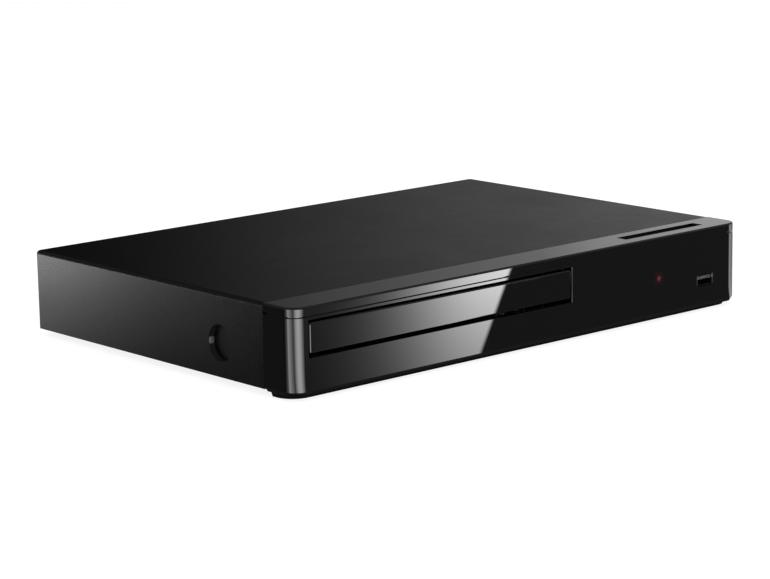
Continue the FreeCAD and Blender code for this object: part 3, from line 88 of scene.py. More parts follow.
def math_node(tree, operation, *values, clamp=False):
    inputs = {f"i{index}": value for index, value in enumerate(values)}
    settings = {"operation": operation, "use_clamp": clamp}
    return add_node(tree, "ShaderNodeMath", settings, **inputs).outputs[0]


def chain(tree, operation, values):
    """One operation carried through a list of values."""
    result = values[0]
    for value in values[1:]:
        result = math_node(tree, operation, result, value)
    return result


def times(tree, *values):
    return chain(tree, "MULTIPLY", values)


def plus(tree, *values):
    return chain(tree, "ADD", values)


def larger(tree, *values):
    return chain(tree, "MAXIMUM", values)


def map_range(tree, value, low, high, to_low, to_high, smooth=False):
    """The value carried from one range to another and held at its ends."""
    settings = {"interpolation_type": "SMOOTHSTEP" if smooth else "LINEAR"}
    return add_node(tree, "ShaderNodeMapRange", settings, Value=value, From_Min=low, From_Max=high,
                    To_Min=to_low, To_Max=to_high).outputs["Result"]


def ramp(tree, factor, stops):
    """Value read from a list of places and heights between 0 and 1."""
    node = add_node(tree, "ShaderNodeValToRGB", Fac=factor)
    elements = node.color_ramp.elements
    while len(elements) < len(stops):
        elements.new(0.5)
    for element, (place, height) in zip(elements, stops):
        element.position = place
        element.color = (height, height, height, 1)
    return node.outputs["Color"]


def noise(tree, position, scale, detail, roughness=0.5):
    return add_node(tree, "ShaderNodeTexNoise", Vector=position, Scale=scale, Detail=detail,
                    Roughness=roughness).outputs["Fac"]


def cells(tree, position, scale, settings=None, output="Distance"):
    return add_node(tree, "ShaderNodeTexVoronoi", settings, Vector=position, Scale=scale).outputs[output]


def upward(tree):
    """How far a face looks up: 1 on a level top, 0 on a wall."""
    normal = add_node(tree, "ShaderNodeNewGeometry").outputs["Normal"]
    return add_node(tree, "ShaderNodeSeparateXYZ", Vector=normal).outputs["Z"]


# Shared effects

def make_mottle():
    """Uneven tone and gloss: a broad noise and a finer one, mixed and centred on nothing."""
    finer_by, broad_share, fine_share = 7.0, 0.7, 0.3
    tree, given, result = group_tree(
        "mottle",
        [("Position", "NodeSocketVector", None), ("Size", "NodeSocketFloat", 30.0),
         ("Amount", "NodeSocketFloat", 0.1)],
        [("Tone", "NodeSocketFloat"), ("Gloss", "NodeSocketFloat")])
    position, size = given.outputs["Position"], given.outputs["Size"]
    broad = noise(tree, position, size, 3.0, 0.6)
    fine = noise(tree, position, times(tree, size, finer_by), 2.0)
    both = plus(tree, times(tree, broad, broad_share), times(tree, fine, fine_share))
    swing = times(tree, math_node(tree, "SUBTRACT", both, 0.5), given.outputs["Amount"])
    tree.links.new(math_node(tree, "MULTIPLY_ADD", swing, 2.0, 1.0), result.inputs["Tone"])
    tree.links.new(swing, result.inputs["Gloss"])
    return tree


def make_pebble():
    """Fine pebbled relief of moulded or powder-coated skin: rounded cells broken up by noise."""
    cell_share, noise_share = 0.7, 0.5
    tree, given, result = group_tree(
        "pebble", [("Position", "NodeSocketVector", None), ("Size", "NodeSocketFloat", 900.0)],
        [("Height", "NodeSocketFloat"), ("Hollow", "NodeSocketFloat")])
    position, size = given.outputs["Position"], given.outputs["Size"]
    rounded = add_node(tree, "ShaderNodeTexVoronoi", {"feature": "SMOOTH_F1"}, Vector=position, Scale=size,
                       Smoothness=0.6).outputs["Distance"]
    broken = noise(tree, position, size, 1.0)
    height = plus(tree, times(tree, rounded, cell_share), times(tree, broken, noise_share))
    tree.links.new(height, result.inputs["Height"])
    tree.links.new(map_range(tree, height, 0.3, 0.8, 0.0, 1.0), result.inputs["Hollow"])
    return tree


def make_streaks():
    """Rolling or brushing lines: noise drawn out along the axis with the smallest stretch."""
    tree, given, result = group_tree(
        "streaks",
        [("Position", "NodeSocketVector", None), ("Stretch", "NodeSocketVector", (20.0, 900.0, 900.0))],
        [("Tone", "NodeSocketFloat"), ("Height", "NodeSocketFloat")])
    scaled = add_node(tree, "ShaderNodeVectorMath", {"operation": "MULTIPLY"},
                      i0=given.outputs["Position"], i1=given.outputs["Stretch"]).outputs[0]
    lines = noise(tree, scaled, 1.0, 4.0, 0.65)
    tree.links.new(map_range(tree, lines, 0.3, 0.7, 0.85, 1.12), result.inputs["Tone"])
    tree.links.new(lines, result.inputs["Height"])
    return tree


def make_settled_dust():
    """Thin dust on faces that look up, in a soft patchy film with a few specks."""
    tree, given, result = group_tree(
        "settled_dust", [("Position", "NodeSocketVector", None), ("Amount", "NodeSocketFloat", 0.02)],
        [("Mask", "NodeSocketFloat")])
    position = given.outputs["Position"]
    level = map_range(tree, upward(tree), 0.2, 1.0, 0.15, 1.0)
    film = map_range(tree, noise(tree, position, 55.0, 4.0, 0.7), 0.35, 0.75, 0.3, 1.0, smooth=True)
    specks = map_range(tree, cells(tree, position, 700.0), 0.03, 0.09, 2.0, 0.0)
    share = times(tree, plus(tree, film, specks), level)
    mask = math_node(tree, "MULTIPLY", share, given.outputs["Amount"], clamp=True)
    tree.links.new(mask, result.inputs["Mask"])
    return tree


MOTTLE, PEBBLE, STREAKS, DUST = make_mottle(), make_pebble(), make_streaks(), make_settled_dust()


# Finishes

DUST_GREY = (0.30, 0.29, 0.27)


class Finish:
    """One material in the making: its tree, its shader and the position on the piece."""

    def __init__(self, name, specular=0.5, metallic=0.0):
        self.material = bpy.data.materials.new(name)
        self.material.use_nodes = True
        self.tree = self.material.node_tree
        self.shader = self.tree.nodes["Principled BSDF"]
        self.position = self.tree.nodes.new("ShaderNodeTexCoord").outputs["Object"]
        self.set(Specular_IOR_Level=specular, Metallic=metallic)

    def set(self, **values):
        for key, value in values.items():
            self.shader.inputs[key.replace("_", " ")].default_value = value

    def link(self, output, key):
        self.tree.links.new(output, self.shader.inputs[key])

    def effect(self, group, **values):
        """A shared effect, at the position on the piece."""
        node = self.tree.nodes.new("ShaderNodeGroup")
        node.node_tree = group
        for key, value in {"Position": self.position, **values}.items():
            feed(self.tree, node.inputs[key], value)
        return node.outputs

    def mottle(self, size, amount):
        """A tone and a gloss that wander over the surface."""
        outputs = self.effect(MOTTLE, Size=size, Amount=amount)
        return outputs["Tone"], outputs["Gloss"]

    def shade(self, colour, tone):
        """The colour times a tone that changes over the surface."""
        node = add_node(self.tree, "ShaderNodeVectorMath", {"operation": "SCALE"}, i0=colour[:3])
        self.tree.links.new(tone, node.inputs["Scale"])
        return node.outputs[0]

    def blend(self, mask, first, second):
        """The first colour where the mask is 0, the second where it is 1."""
        node = add_node(self.tree, "ShaderNodeMix", {"data_type": "RGBA"})
        self.tree.links.new(mask, node.inputs["Factor"])
        for index, value in ((6, first), (7, second)):
            linked = isinstance(value, bpy.types.NodeSocket)
            feed(self.tree, node.inputs[index], value if linked else (*value[:3], 1))
        return node.outputs[2]

    def dusted(self, colour, tone, amount):
        """Base colour under a film of dust, whose mask is given back."""
        mask = self.effect(DUST, Amount=amount)["Mask"]
        self.link(self.blend(mask, self.shade(colour, tone), DUST_GREY), "Base Color")
        return mask

    def relief(self, height, depth):
        """Bump from a height, with the depth of its relief in metres."""
        bump = add_node(self.tree, "ShaderNodeBump", Strength=1.0, Distance=depth, Height=height)
        self.link(bump.outputs["Normal"], "Normal")

    def rough(self, base, swing):
        """Roughness about a base, moved by a value that is centred on nothing."""
        self.link(math_node(self.tree, "ADD", swing, base, clamp=True), "Roughness")


GLOSS_BLACK = (0.0030, 0.0030, 0.0031)
# Painted glow on the plastic round the indicator lamp: its red, and the distances where it is full and where
# it ends
PAINTED_GLOW_RED, GLOW_NEAR, GLOW_FAR = (0.024, 0.0003, 0.0032), 0.0007, 0.0046


def gloss_moulding(name, painted_glow_at=None):
    """Polished black plastic: a trace of flow ripple, uneven gloss and a thin film of dust.

    Around a given lamp the plastic gives off a painted glow of red light, which fades with the distance from
    the lamp.
    """
    finish = Finish(name)
    tree = finish.tree
    # Painted glow: red light given off by the plastic itself near the lamp
    if painted_glow_at is not None:
        away = add_node(tree, "ShaderNodeVectorMath", {"operation": "DISTANCE"}, i0=finish.position,
                        i1=painted_glow_at).outputs["Value"]
        painted_glow = map_range(tree, away, GLOW_NEAR, GLOW_FAR, 1.0, 0.0, smooth=True)
        finish.link(finish.shade(PAINTED_GLOW_RED, painted_glow), "Emission Color")
        finish.set(Emission_Strength=1.0)
    tone, gloss = finish.mottle(size=26.0, amount=0.02)
    dust = finish.dusted(GLOSS_BLACK, tone, 0.004)
    finish.rough(0.018, plus(tree, gloss, times(tree, dust, 0.6)))
    finish.relief(noise(tree, finish.position, 120.0, 1.0), 1.5e-6)
    return finish.material


def powder_paint(name, colour, roughness, specular, size, depth, dust=0.004):
    """Baked paint on sheet steel: pebbled relief, slightly glossier crests and a little dust."""
    finish = Finish(name, specular)
    tone, gloss = finish.mottle(size=14.0, amount=0.12)
    pebble = finish.effect(PEBBLE, Size=size)
    finish.dusted(colour, tone, dust)
    finish.rough(roughness, plus(finish.tree, gloss, times(finish.tree, pebble["Hollow"], 0.05)))
    finish.relief(pebble["Height"], depth)
    return finish.material


def moulded_plastic(name, colour, roughness, size=700.0, depth=6e-6, amount=0.14):
    """Injection-moulded skin: fine spark texture with soft cloudy variation."""
    finish = Finish(name)
    tone, gloss = finish.mottle(size=35.0, amount=amount)
    finish.dusted(colour, tone, 0.008)
    finish.rough(roughness, gloss)
    finish.relief(finish.effect(PEBBLE, Size=size)["Height"], depth)
    return finish.material


def rolled_metal(name, colour, roughness, stretch=(18.0, 700.0, 700.0), depth=2e-6):
    """Rolled, drawn or turned metal: fine lines along the stretch, with uneven polish."""
    finish = Finish(name, metallic=1.0)
    tone, gloss = finish.mottle(size=40.0, amount=0.16)
    lines = finish.effect(STREAKS, Stretch=stretch)
    finish.link(finish.shade(colour, times(finish.tree, lines["Tone"], tone)), "Base Color")
    finish.rough(roughness, gloss)
    finish.relief(lines["Height"], depth)
    return finish.material


def zinc_plate(name, colour):
    """Zinc-coated sheet: angular crystal flakes, each with its own tone and polish."""
    finish = Finish(name, metallic=1.0)
    tree = finish.tree
    flakes = cells(tree, finish.position, 210.0, output="Color")
    flake = add_node(tree, "ShaderNodeSeparateColor", Color=flakes).outputs[0]
    lines = finish.effect(STREAKS, Stretch=(30.0, 500.0, 500.0))
    tone = times(tree, map_range(tree, flake, 0.0, 1.0, 0.86, 1.06), lines["Tone"])
    finish.link(finish.shade(colour, tone), "Base Color")
    finish.link(map_range(tree, flake, 0.0, 1.0, 0.32, 0.46), "Roughness")
    finish.relief(lines["Height"], 2e-6)
    return finish.material


TINNED = (0.62, 0.63, 0.62)


def circuit_board(name, mask_colour, copper_colour):
    """Solder mask over copper tracks: straight runs in two directions and tinned round pads."""
    finish = Finish(name)
    tree = finish.tree
    grid = add_node(tree, "ShaderNodeTexBrick", {"offset": 0.37, "squash": 0.6}, Vector=finish.position,
                    Scale=1.0, Mortar_Size=0.0003, Brick_Width=0.0075, Row_Height=0.0021)
    squares = cells(tree, finish.position, 260.0, {"distance": "MANHATTAN"})
    tracks = larger(tree, grid.outputs["Fac"], map_range(tree, squares, 0.62, 0.66, 0.0, 1.0))
    pads = map_range(tree, cells(tree, finish.position, 330.0), 0.13, 0.16, 1.0, 0.0)
    tone, _ = finish.mottle(size=60.0, amount=0.2)
    colour = finish.blend(tracks, finish.shade(mask_colour, tone), copper_colour)
    finish.link(finish.blend(pads, colour, TINNED), "Base Color")
    finish.link(map_range(tree, pads, 0.0, 1.0, 0.38, 0.25), "Roughness")
    finish.link(times(tree, pads, 0.85), "Metallic")
    finish.relief(plus(tree, tracks, pads), 3e-5)
    return finish.material


def rubber(name, colour):
    """Matt moulded rubber with a bloom of pale wax in its hollows."""
    wax = (0.4, 0.4, 0.38)
    finish = Finish(name, specular=0.3)
    pebble = finish.effect(PEBBLE, Size=1100.0)
    tone, gloss = finish.mottle(size=90.0, amount=0.25)
    bloom = times(finish.tree, pebble["Hollow"], 0.03)
    finish.link(finish.blend(bloom, finish.shade(colour, tone), wax), "Base Color")
    finish.rough(0.72, gloss)
    finish.relief(pebble["Height"], 8e-6)
    return finish.material


def ribbon_jacket(name, colour):
    """Flat cable: parallel conductors that show as pale ridges through the jacket."""
    furrow, pitch = (0.52, 0.52, 0.5), 0.001
    finish = Finish(name)
    tree = finish.tree
    place = add_node(tree, "ShaderNodeSeparateXYZ", Vector=finish.position).outputs
    waves = math_node(tree, "SINE", times(tree, plus(tree, place["X"], place["Y"]), 2 * math.pi / pitch))
    ridges = map_range(tree, waves, -1.0, 1.0, 0.0, 1.0)
    tone, gloss = finish.mottle(size=50.0, amount=0.1)
    finish.link(finish.blend(ridges, finish.shade(furrow, tone), colour), "Base Color")
    finish.rough(0.42, gloss)
    finish.relief(ridges, 6e-5)
    return finish.material


def wound_tape(name, colour):
    """Polyester tape wound on a transformer: overlapping turns with a lighter edge."""
    edge_colour, turns_per_metre = (0.9, 0.78, 0.35), 380.0
    finish = Finish(name)
    tree = finish.tree
    height = add_node(tree, "ShaderNodeSeparateXYZ", Vector=finish.position).outputs["Z"]
    turns = math_node(tree, "FRACT", times(tree, height, turns_per_metre))
    edge = map_range(tree, turns, 0.0, 0.12, 1.0, 0.0)
    tone, gloss = finish.mottle(size=70.0, amount=0.2)
    finish.link(finish.blend(edge, finish.shade(colour, tone), edge_colour), "Base Color")
    finish.rough(0.3, gloss)
    finish.relief(turns, 5e-5)
    return finish.material


def can_jacket(name, colour):
    """Shrunk sleeve of an electrolytic can, with bare pressed metal on its top face."""
    bare_metal = (0.7, 0.7, 0.69)
    finish = Finish(name)
    bare = map_range(finish.tree, upward(finish.tree), 0.9, 0.95, 0.0, 1.0)
    tone, gloss = finish.mottle(size=80.0, amount=0.15)
    finish.link(finish.blend(bare, finish.shade(colour, tone), bare_metal), "Base Color")
    finish.link(times(finish.tree, bare, 0.95), "Metallic")
    finish.rough(0.3, gloss)
    return finish.material


def lit_lens(name, colour, strength):
    """Tinted indicator plastic that glows a little unevenly."""
    finish = Finish(name)
    tone, gloss = finish.mottle(size=400.0, amount=0.3)
    finish.link(finish.shade(colour, tone), "Base Color")
    finish.link(finish.shade(colour, tone), "Emission Color")
    finish.set(Emission_Strength=strength)
    finish.rough(0.2, gloss)
    return finish.material


def coated_glass(name, colour):
    """Small moulded lens with a blue-violet anti-reflection coating."""
    finish = Finish(name, specular=0.9)
    finish.set(Coat_Weight=1.0, Coat_Roughness=0.02)
    tone, gloss = finish.mottle(size=300.0, amount=0.5)
    finish.link(finish.shade(colour, tone), "Base Color")
    finish.rough(0.05, gloss)
    return finish.material


LED_LOW, LED_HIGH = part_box("led_lens")
LED_FACE = ((LED_LOW[0] + LED_HIGH[0]) / 2, LED_LOW[1], (LED_LOW[2] + LED_HIGH[2]) / 2)

# For each material slot: its maker, then its colours and the other values that the maker takes
RECIPES = {
    "cover_paint": (powder_paint, (0.0008, 0.0008, 0.0008), 0.26, 0.25, 1500.0, 1.5e-6, 0.001),
    "zinc_steel": (zinc_plate, (0.50, 0.51, 0.52)),
    "panel_paint": (powder_paint, (0.012, 0.012, 0.0125), 0.42, 0.4, 1300.0, 4e-6),
    "fascia_gloss": (gloss_moulding, LED_FACE),
    "trim_gloss": (gloss_moulding,),
    "door_gloss": (gloss_moulding,),
    "indicator_lens": (lit_lens, (0.070, 0.018, 0.022), 0.6),
    "key_black": (moulded_plastic, (0.010, 0.010, 0.0105), 0.3, 1500.0, 3e-6),
    "socket_steel": (rolled_metal, (0.58, 0.58, 0.57), 0.28),
    "board_green": (circuit_board, (0.012, 0.085, 0.035), (0.03, 0.17, 0.06)),
    "board_amber": (circuit_board, (0.42, 0.27, 0.10), (0.50, 0.33, 0.13)),
    "chip_black": (moulded_plastic, (0.018, 0.018, 0.019), 0.5, 2200.0, 4e-6),
    "frame_plastic": (moulded_plastic, (0.030, 0.030, 0.031), 0.5),
    "tray_plastic": (moulded_plastic, (0.020, 0.020, 0.021), 0.42, 1100.0, 4e-6),
    "nylon_white": (moulded_plastic, (0.78, 0.76, 0.70), 0.38, 900.0, 4e-6, 0.08),
    "brass_turned": (rolled_metal, (0.70, 0.52, 0.22), 0.24, (900.0, 900.0, 60.0)),
    "soft_rubber": (rubber, (0.022, 0.022, 0.022)),
    "motor_steel": (rolled_metal, (0.55, 0.55, 0.54), 0.3, (60.0, 60.0, 900.0)),
    "turntable_grey": (moulded_plastic, (0.12, 0.12, 0.125), 0.4),
    "polished_steel": (rolled_metal, (0.72, 0.72, 0.73), 0.12, (900.0, 30.0, 900.0), 1e-6),
    "sled_metal": (powder_paint, (0.33, 0.33, 0.34), 0.4, 0.6, 1000.0, 5e-6),
    "lens_glass": (coated_glass, (0.03, 0.05, 0.16)),
    "sink_aluminium": (rolled_metal, (0.62, 0.63, 0.65), 0.36, (25.0, 600.0, 600.0)),
    "can_sleeve": (can_jacket, (0.020, 0.028, 0.085)),
    "winding_tape": (wound_tape, (0.70, 0.52, 0.10)),
    "jack_orange": (moulded_plastic, (0.72, 0.22, 0.02), 0.35, 900.0, 4e-6, 0.1),
    "inlet_black": (moulded_plastic, (0.014, 0.014, 0.014), 0.4),
    "cable_white": (ribbon_jacket, (0.74, 0.74, 0.70)),
}
FINISHES = {name: maker(name, *values) for name, (maker, *values) in RECIPES.items()}

for node_name, cad_object in frame["nodes"].items():
    for material_slot in cad_object.material_slots:
        material_slot.material = FINISHES[SLOT_OF[node_name]]


# Surfaces from numpy grids

def grid_faces(rows, columns, first):
    """Quads between neighbouring points of a grid whose columns wrap round."""
    row, column = np.meshgrid(np.arange(rows - 1), np.arange(columns), indexing="ij")
    after = (column + 1) % columns
    this_row, next_row = row * columns, (row + 1) * columns
    corners = [this_row + column, this_row + after, next_row + after, next_row + column]
    return np.stack(corners, axis=-1).reshape(-1, 4) + first


def lay_piece(name, grids, body, slot_name, smooth=True):
    """One closed piece from grids of points in millimetres, riding on its body.

    Each grid is an array of rows, columns and three coordinates. Its columns wrap round. Its first
    and last rows draw in to a point or meet, and equal points are merged.
    """
    points, faces, first = [], [], 0
    for grid in grids:
        rows, columns = grid.shape[:2]
        points.append(grid.reshape(-1, 3))
        faces.append(grid_faces(rows, columns, first))
        first += rows * columns
    mesh = bpy.data.meshes.new(name)
    mesh.from_pydata((np.concatenate(points) * MM).tolist(), [], np.concatenate(faces).tolist())
    work = bmesh.new()
    work.from_mesh(mesh)
    bmesh.ops.remove_doubles(work, verts=work.verts, dist=1e-7)
    bmesh.ops.dissolve_degenerate(work, edges=work.edges, dist=1e-8)
    bmesh.ops.recalc_face_normals(work, faces=work.faces)
    work.to_mesh(mesh)
    work.free()
    mesh.polygons.foreach_set("use_smooth", np.full(len(mesh.polygons), smooth))
    piece = bpy.data.objects.new(name, mesh)
    bpy.context.collection.objects.link(piece)
    mesh.materials.append(FINISHES[slot_name])
    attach(piece, body)


# Across, up and out of a face that looks along an axis
AXES = {
    "+X": ((0, 1, 0), (0, 0, 1), (1, 0, 0)),
    "-X": ((0, -1, 0), (0, 0, 1), (-1, 0, 0)),
    "+Y": ((-1, 0, 0), (0, 0, 1), (0, 1, 0)),
    "+Z": ((1, 0, 0), (0, 1, 0), (0, 0, 1)),
}


def facing(points, centre, axis):
    """Points given as across, up and out, turned to face an axis from a centre."""
    return points @ np.array(AXES[axis], float) + np.array(centre, float)


def pan_head(centre, axis, radius, height, columns=48):
    """Low dome with a cross recess.

    Height out of the face is the given height times the root of 1.02 less the squared share of the
    radius. Inside the cross, which is two bars, it drops to a fifth of that. The last two rows lie
    in the face and close the back.
    """
    share = np.concatenate([[0.0], np.linspace(0.06, 0.94, 20), [0.98, 1.0, 1.0, 0.0]])
    turn = np.linspace(0, 2 * np.pi, columns, endpoint=False)
    across = radius * share[:, None] * np.cos(turn)
    up = radius * share[:, None] * np.sin(turn)
    out = np.repeat((height * np.sqrt(np.clip(1.02 - share ** 2, 0, 1)))[:, None], columns, 1)
    arm, reach, sunk = 0.15 * radius, 0.62 * radius, 0.2
    bars = np.minimum(np.maximum(np.abs(across) / arm, np.abs(up) / reach),
                      np.maximum(np.abs(up) / arm, np.abs(across) / reach))
    out = np.where(bars < 1.0, out * sunk, out)
    out[-2:] = 0.0
    return facing(np.stack([across, up, out], -1), centre, axis)


def turned_grid(section, centre, axis, columns=72):
    """A section of radii and heights carried round a circle.

    Across is the radius times the cosine of the turn, up is the radius times its sine, and out is
    the height.
    """
    section = np.array(section, float)
    turn = np.linspace(0, 2 * np.pi, columns, endpoint=False)
    across = section[:, :1] * np.cos(turn)
    up = section[:, :1] * np.sin(turn)
    out = np.repeat(section[:, 1:], columns, 1)
    return facing(np.stack([across, up, out], -1), centre, axis)


def ring_grid(centre, axis, inner, outer, height):
    """Flat ring with softened edges: an oblong section with cut corners carried round a circle."""
    edge = min(0.25 * height, 0.25 * (outer - inner))
    return turned_grid([
        (inner, 0), (outer, 0), (outer, height - edge), (outer - edge, height),
        ((inner + outer) / 2, height), (inner + edge, height), (inner, height - edge), (inner, 0),
    ], centre, axis)


def softened_block(x, y, z, edge=0.15, columns=20, rows=10):
    """Block with rounded edges, a superellipsoid.

    Each coordinate is a product of the cosines and sines of rise and turn, every one of them
    raised to the power of the edge with its sign kept. The smaller the edge, the sharper the block.
    """
    middle = np.array([(x[0] + x[1]) / 2, (y[0] + y[1]) / 2, (z[0] + z[1]) / 2])
    half = np.array([(x[1] - x[0]) / 2, (y[1] - y[0]) / 2, (z[1] - z[0]) / 2])
    rise = np.linspace(-np.pi / 2, np.pi / 2, rows)
    turn = np.linspace(0, 2 * np.pi, columns, endpoint=False)

    def power(value):
        return np.sign(value) * np.abs(value) ** edge

    unit = np.stack([
        power(np.cos(rise))[:, None] * power(np.cos(turn)),
        power(np.cos(rise))[:, None] * power(np.sin(turn)),
        np.repeat(power(np.sin(rise))[:, None], columns, 1),
    ], -1)
    return unit * half + middle


def strip_grid(path, width, thickness, side):
    """Thin strip: an oblong section of the given width along the side vector, carried along a path.

    The path's direction comes from its differences, and the section's other axis is square to it.
    """
    path = np.asarray(path, float)
    side = np.asarray(side, float)
    along = np.gradient(path, axis=0)
    along /= np.linalg.norm(along, axis=1)[:, None]
    normal = np.cross(along, side)
    rim = np.array([(-1, -1), (1, -1), (1, 1), (-1, 1)]) / 2
    body = (path[:, None, :] + rim[None, :, :1] * width * side
            + rim[None, :, 1:] * thickness * normal[:, None, :])
    return np.concatenate([np.repeat(path[:1, None], 4, 1), body, np.repeat(path[-1:, None], 4, 1)])


# Screw heads on the back: the cover's on its flange, the rear panel's on the panel

def back_y(value):
    """Place along Y of a distance behind the front panel's face."""
    return FRONT_Y + value


REAR_FACE = back_y(BODY_DEPTH)
PANEL_FACE = back_y(BODY_DEPTH - STEEL_GAUGE)
COVER_SCREW_X, COVER_SCREW_Z, COVER_SCREW_SIZE = (-130.0, 6.0, 130.0), 40.5, (3.0, 1.5)
PANEL_SCREWS, PANEL_SCREW_SIZE = ((-118.0, 9.6), (18.0, 9.6), (112.0, 31.0), (104.0, 9.0)), (2.6, 1.3)

cover_heads = [pan_head((x, REAR_FACE, COVER_SCREW_Z), "+Y", *COVER_SCREW_SIZE) for x in COVER_SCREW_X]
panel_heads = [pan_head((x, PANEL_FACE, z), "+Y", *PANEL_SCREW_SIZE) for x, z in PANEL_SCREWS]
lay_piece("cover_screw_heads", cover_heads, "housing", "panel_paint")
lay_piece("panel_screw_heads", panel_heads, "housing", "polished_steel")


# Side recesses: a shallow floor, a matt lining of the wall and a grey block on it, which is a painted
# highlight

RECESS_Y, RECESS_Z, RECESS_FLOOR = back_y(55.3), 20.2, 3.0
RECESSES = [((-HALF_WIDTH, RECESS_Y, RECESS_Z), "-X"), ((HALF_WIDTH, RECESS_Y, RECESS_Z), "+X")]
# Radii and heights out of the side, closed round the floor's disc and round the wall's ring
FLOOR_SECTION = [
    (0, -4.4), (8.35, -4.4), (8.70, -RECESS_FLOOR - 0.1), (8.68, -RECESS_FLOOR - 0.02),
    (8.60, -RECESS_FLOOR), (8.50, -RECESS_FLOOR), (0, -RECESS_FLOOR),
]
WALL_SECTION = [(9.39, -0.02), (9.33, -0.05), (8.70, -2.95), (8.77, -3.0), (9.39, -0.02)]
# Grey block on each recess wall: a painted highlight
HIGHLIGHT_X, HIGHLIGHT_Y, HIGHLIGHT_Z = (155.75, 153.2), (RECESS_Y + 8.0, RECESS_Y + 9.1), (18.6, 22.0)

floors = [turned_grid(FLOOR_SECTION, *place) for place in RECESSES]
linings = [turned_grid(WALL_SECTION, *place, columns=160) for place in RECESSES]
highlight_blocks = [softened_block(sorted(side * x for x in HIGHLIGHT_X), HIGHLIGHT_Y, HIGHLIGHT_Z, 0.3) for side in (-1, 1)]
lay_piece("recess_floors", floors, "housing", "cover_paint")
lay_piece("recess_linings", linings, "housing", "key_black", smooth=False)
lay_piece("recess_painted_highlights", highlight_blocks, "housing", "turntable_grey")


# Sockets

CONTACT_THICKNESS = 0.16


def contact_strips(name, x, y, z, count, pitch, width):
    """Row of thin contacts, spaced evenly about x, each straight from one (y, z) to the other."""
    places = x + pitch * (np.arange(count) - (count - 1) / 2)
    share = np.linspace(0, 1, 5)
    runs = [np.stack([np.full(5, place), y[0] + (y[1] - y[0]) * share, z[0] + (z[1] - z[0]) * share], -1)
            for place in places]
    strips = [strip_grid(run, width, CONTACT_THICKNESS, (1, 0, 0)) for run in runs]
    lay_piece(name, strips, "housing", "brass_turned", smooth=False)


def box_mm(node):
    """Low and high corners of a CAD node, in millimetres."""
    return [np.array(corner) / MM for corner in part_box(node)]


# The USB socket: black sheets of painted shade on three sides of its mouth and inside its shell, and the
# tongue's sleeve
SHELL, SHADE_SHEET = 0.3, 0.2
(left, front, bottom), (right, rear, top) = box_mm("usb_socket")
shade_lip_y = (front - 0.12, front + 1.1)
mouth_x, mouth_z = (left + SHELL, right - SHELL), (bottom + SHELL, top - SHELL)
mouth_y = (front + 1.0, rear - 2.2)
# Black gloss sheets over the shell's front edge and inner walls: painted shade
shade_sheets = [
    softened_block((left - 0.05, left + 0.5), shade_lip_y, (bottom + 0.35, top + 0.05)),
    softened_block((left - 0.05, right - 0.35), shade_lip_y, (top - 0.5, top + 0.05)),
    softened_block((left + 0.3, right - 0.35), shade_lip_y, (bottom - 0.05, bottom + 0.45)),
    softened_block(mouth_x, mouth_y, (mouth_z[0], mouth_z[0] + SHADE_SHEET)),
    softened_block((mouth_x[0], mouth_x[0] + SHADE_SHEET), mouth_y, mouth_z),
    softened_block((mouth_x[1] - SHADE_SHEET, mouth_x[1]), mouth_y, mouth_z),
    softened_block(mouth_x, mouth_y, (mouth_z[1] - SHADE_SHEET, mouth_z[1])),
    softened_block(mouth_x, (rear - 3.4, mouth_y[1]), mouth_z),
]
sleeve = softened_block((left + 0.9, right - 0.9), (front + 1.7, rear - 2.4), (top - 2.7, top - 0.7))
lay_piece("usb_painted_shade", shade_sheets, "housing", "door_gloss")
lay_piece("usb_tongue_sleeve", [sleeve], "housing", "turntable_grey")
contact_strips("usb_contacts", (left + right) / 2, (front + 2.6, rear - 4.0), (top - 2.75, top - 2.75),
               count=4, pitch=2.3, width=1.0)

low, high = box_mm("lan_socket")
middle = (low + high) / 2
contact_strips("network_contacts", middle[0], (high[1] - 3.0, high[1] - 11.0),
               (middle[2] - 4.3, middle[2] - 1.2), count=8, pitch=1.02, width=0.45)

low, high = box_mm("hdmi_socket")
middle = (low + high) / 2
for name, rise, count in (("video_contacts_upper", 1.06, 10), ("video_contacts_lower", -0.16, 9)):
    contact_strips(name, middle[0], (high[1] - 1.6, high[1] - 8.0), (middle[2] + rise, middle[2] + rise),
                   count, pitch=1.0, width=0.4)

JACK_RADIUS = 6.0
low, high = box_mm("coax_socket")
jack_mouth = ((low[0] + high[0]) / 2, high[1] - 0.8, high[2] - JACK_RADIUS)
insulator = ring_grid(jack_mouth, "+Y", inner=2.1, outer=3.5, height=0.75)
lay_piece("jack_insulator_ring", [insulator], "housing", "nylon_white")


# The rubber ring on which the disc lies

low, high = box_mm("turntable")
seat = ((low[0] + high[0]) / 2, (low[1] + high[1]) / 2, high[2] - 2.5)
seat_ring = ring_grid(seat, "+Z", inner=10.6, outer=13.6, height=0.3)
lay_piece("disc_seat_ring", [seat_ring], "platter", "soft_rubber")


# Camera: its three axes and its place, as worked out from the body's straight edges

FOCAL_PIXELS, IMAGE_WIDTH, SENSOR_WIDTH = 2610.35, 770, 36.0
CAMERA_PLACE = (-0.9002985, -1.0246228, 0.2998157)
RIGHT = Vector((0.7517642, -0.6591923, -0.0177797))
UP = Vector((0.1476427, 0.1419765, 0.9787974))
BACK = Vector((-0.6426914, -0.7384498, 0.2040578))

camera_data = bpy.data.cameras.new("photo_camera")
camera_data.sensor_fit = "HORIZONTAL"
camera_data.sensor_width = SENSOR_WIDTH
camera_data.lens = FOCAL_PIXELS * SENSOR_WIDTH / IMAGE_WIDTH
camera_data.shift_x = 0.00797
camera_data.clip_start, camera_data.clip_end = 0.05, 60.0
camera = bpy.data.objects.new("photo_camera", camera_data)
bpy.context.collection.objects.link(camera)
turned = Matrix((RIGHT, UP, BACK)).transposed().to_4x4()
camera.matrix_world = Matrix.Translation(CAMERA_PLACE) @ turned
bpy.context.scene.camera = camera


# Studio: a floor that the camera sees, and three cards that only gloss mirrors

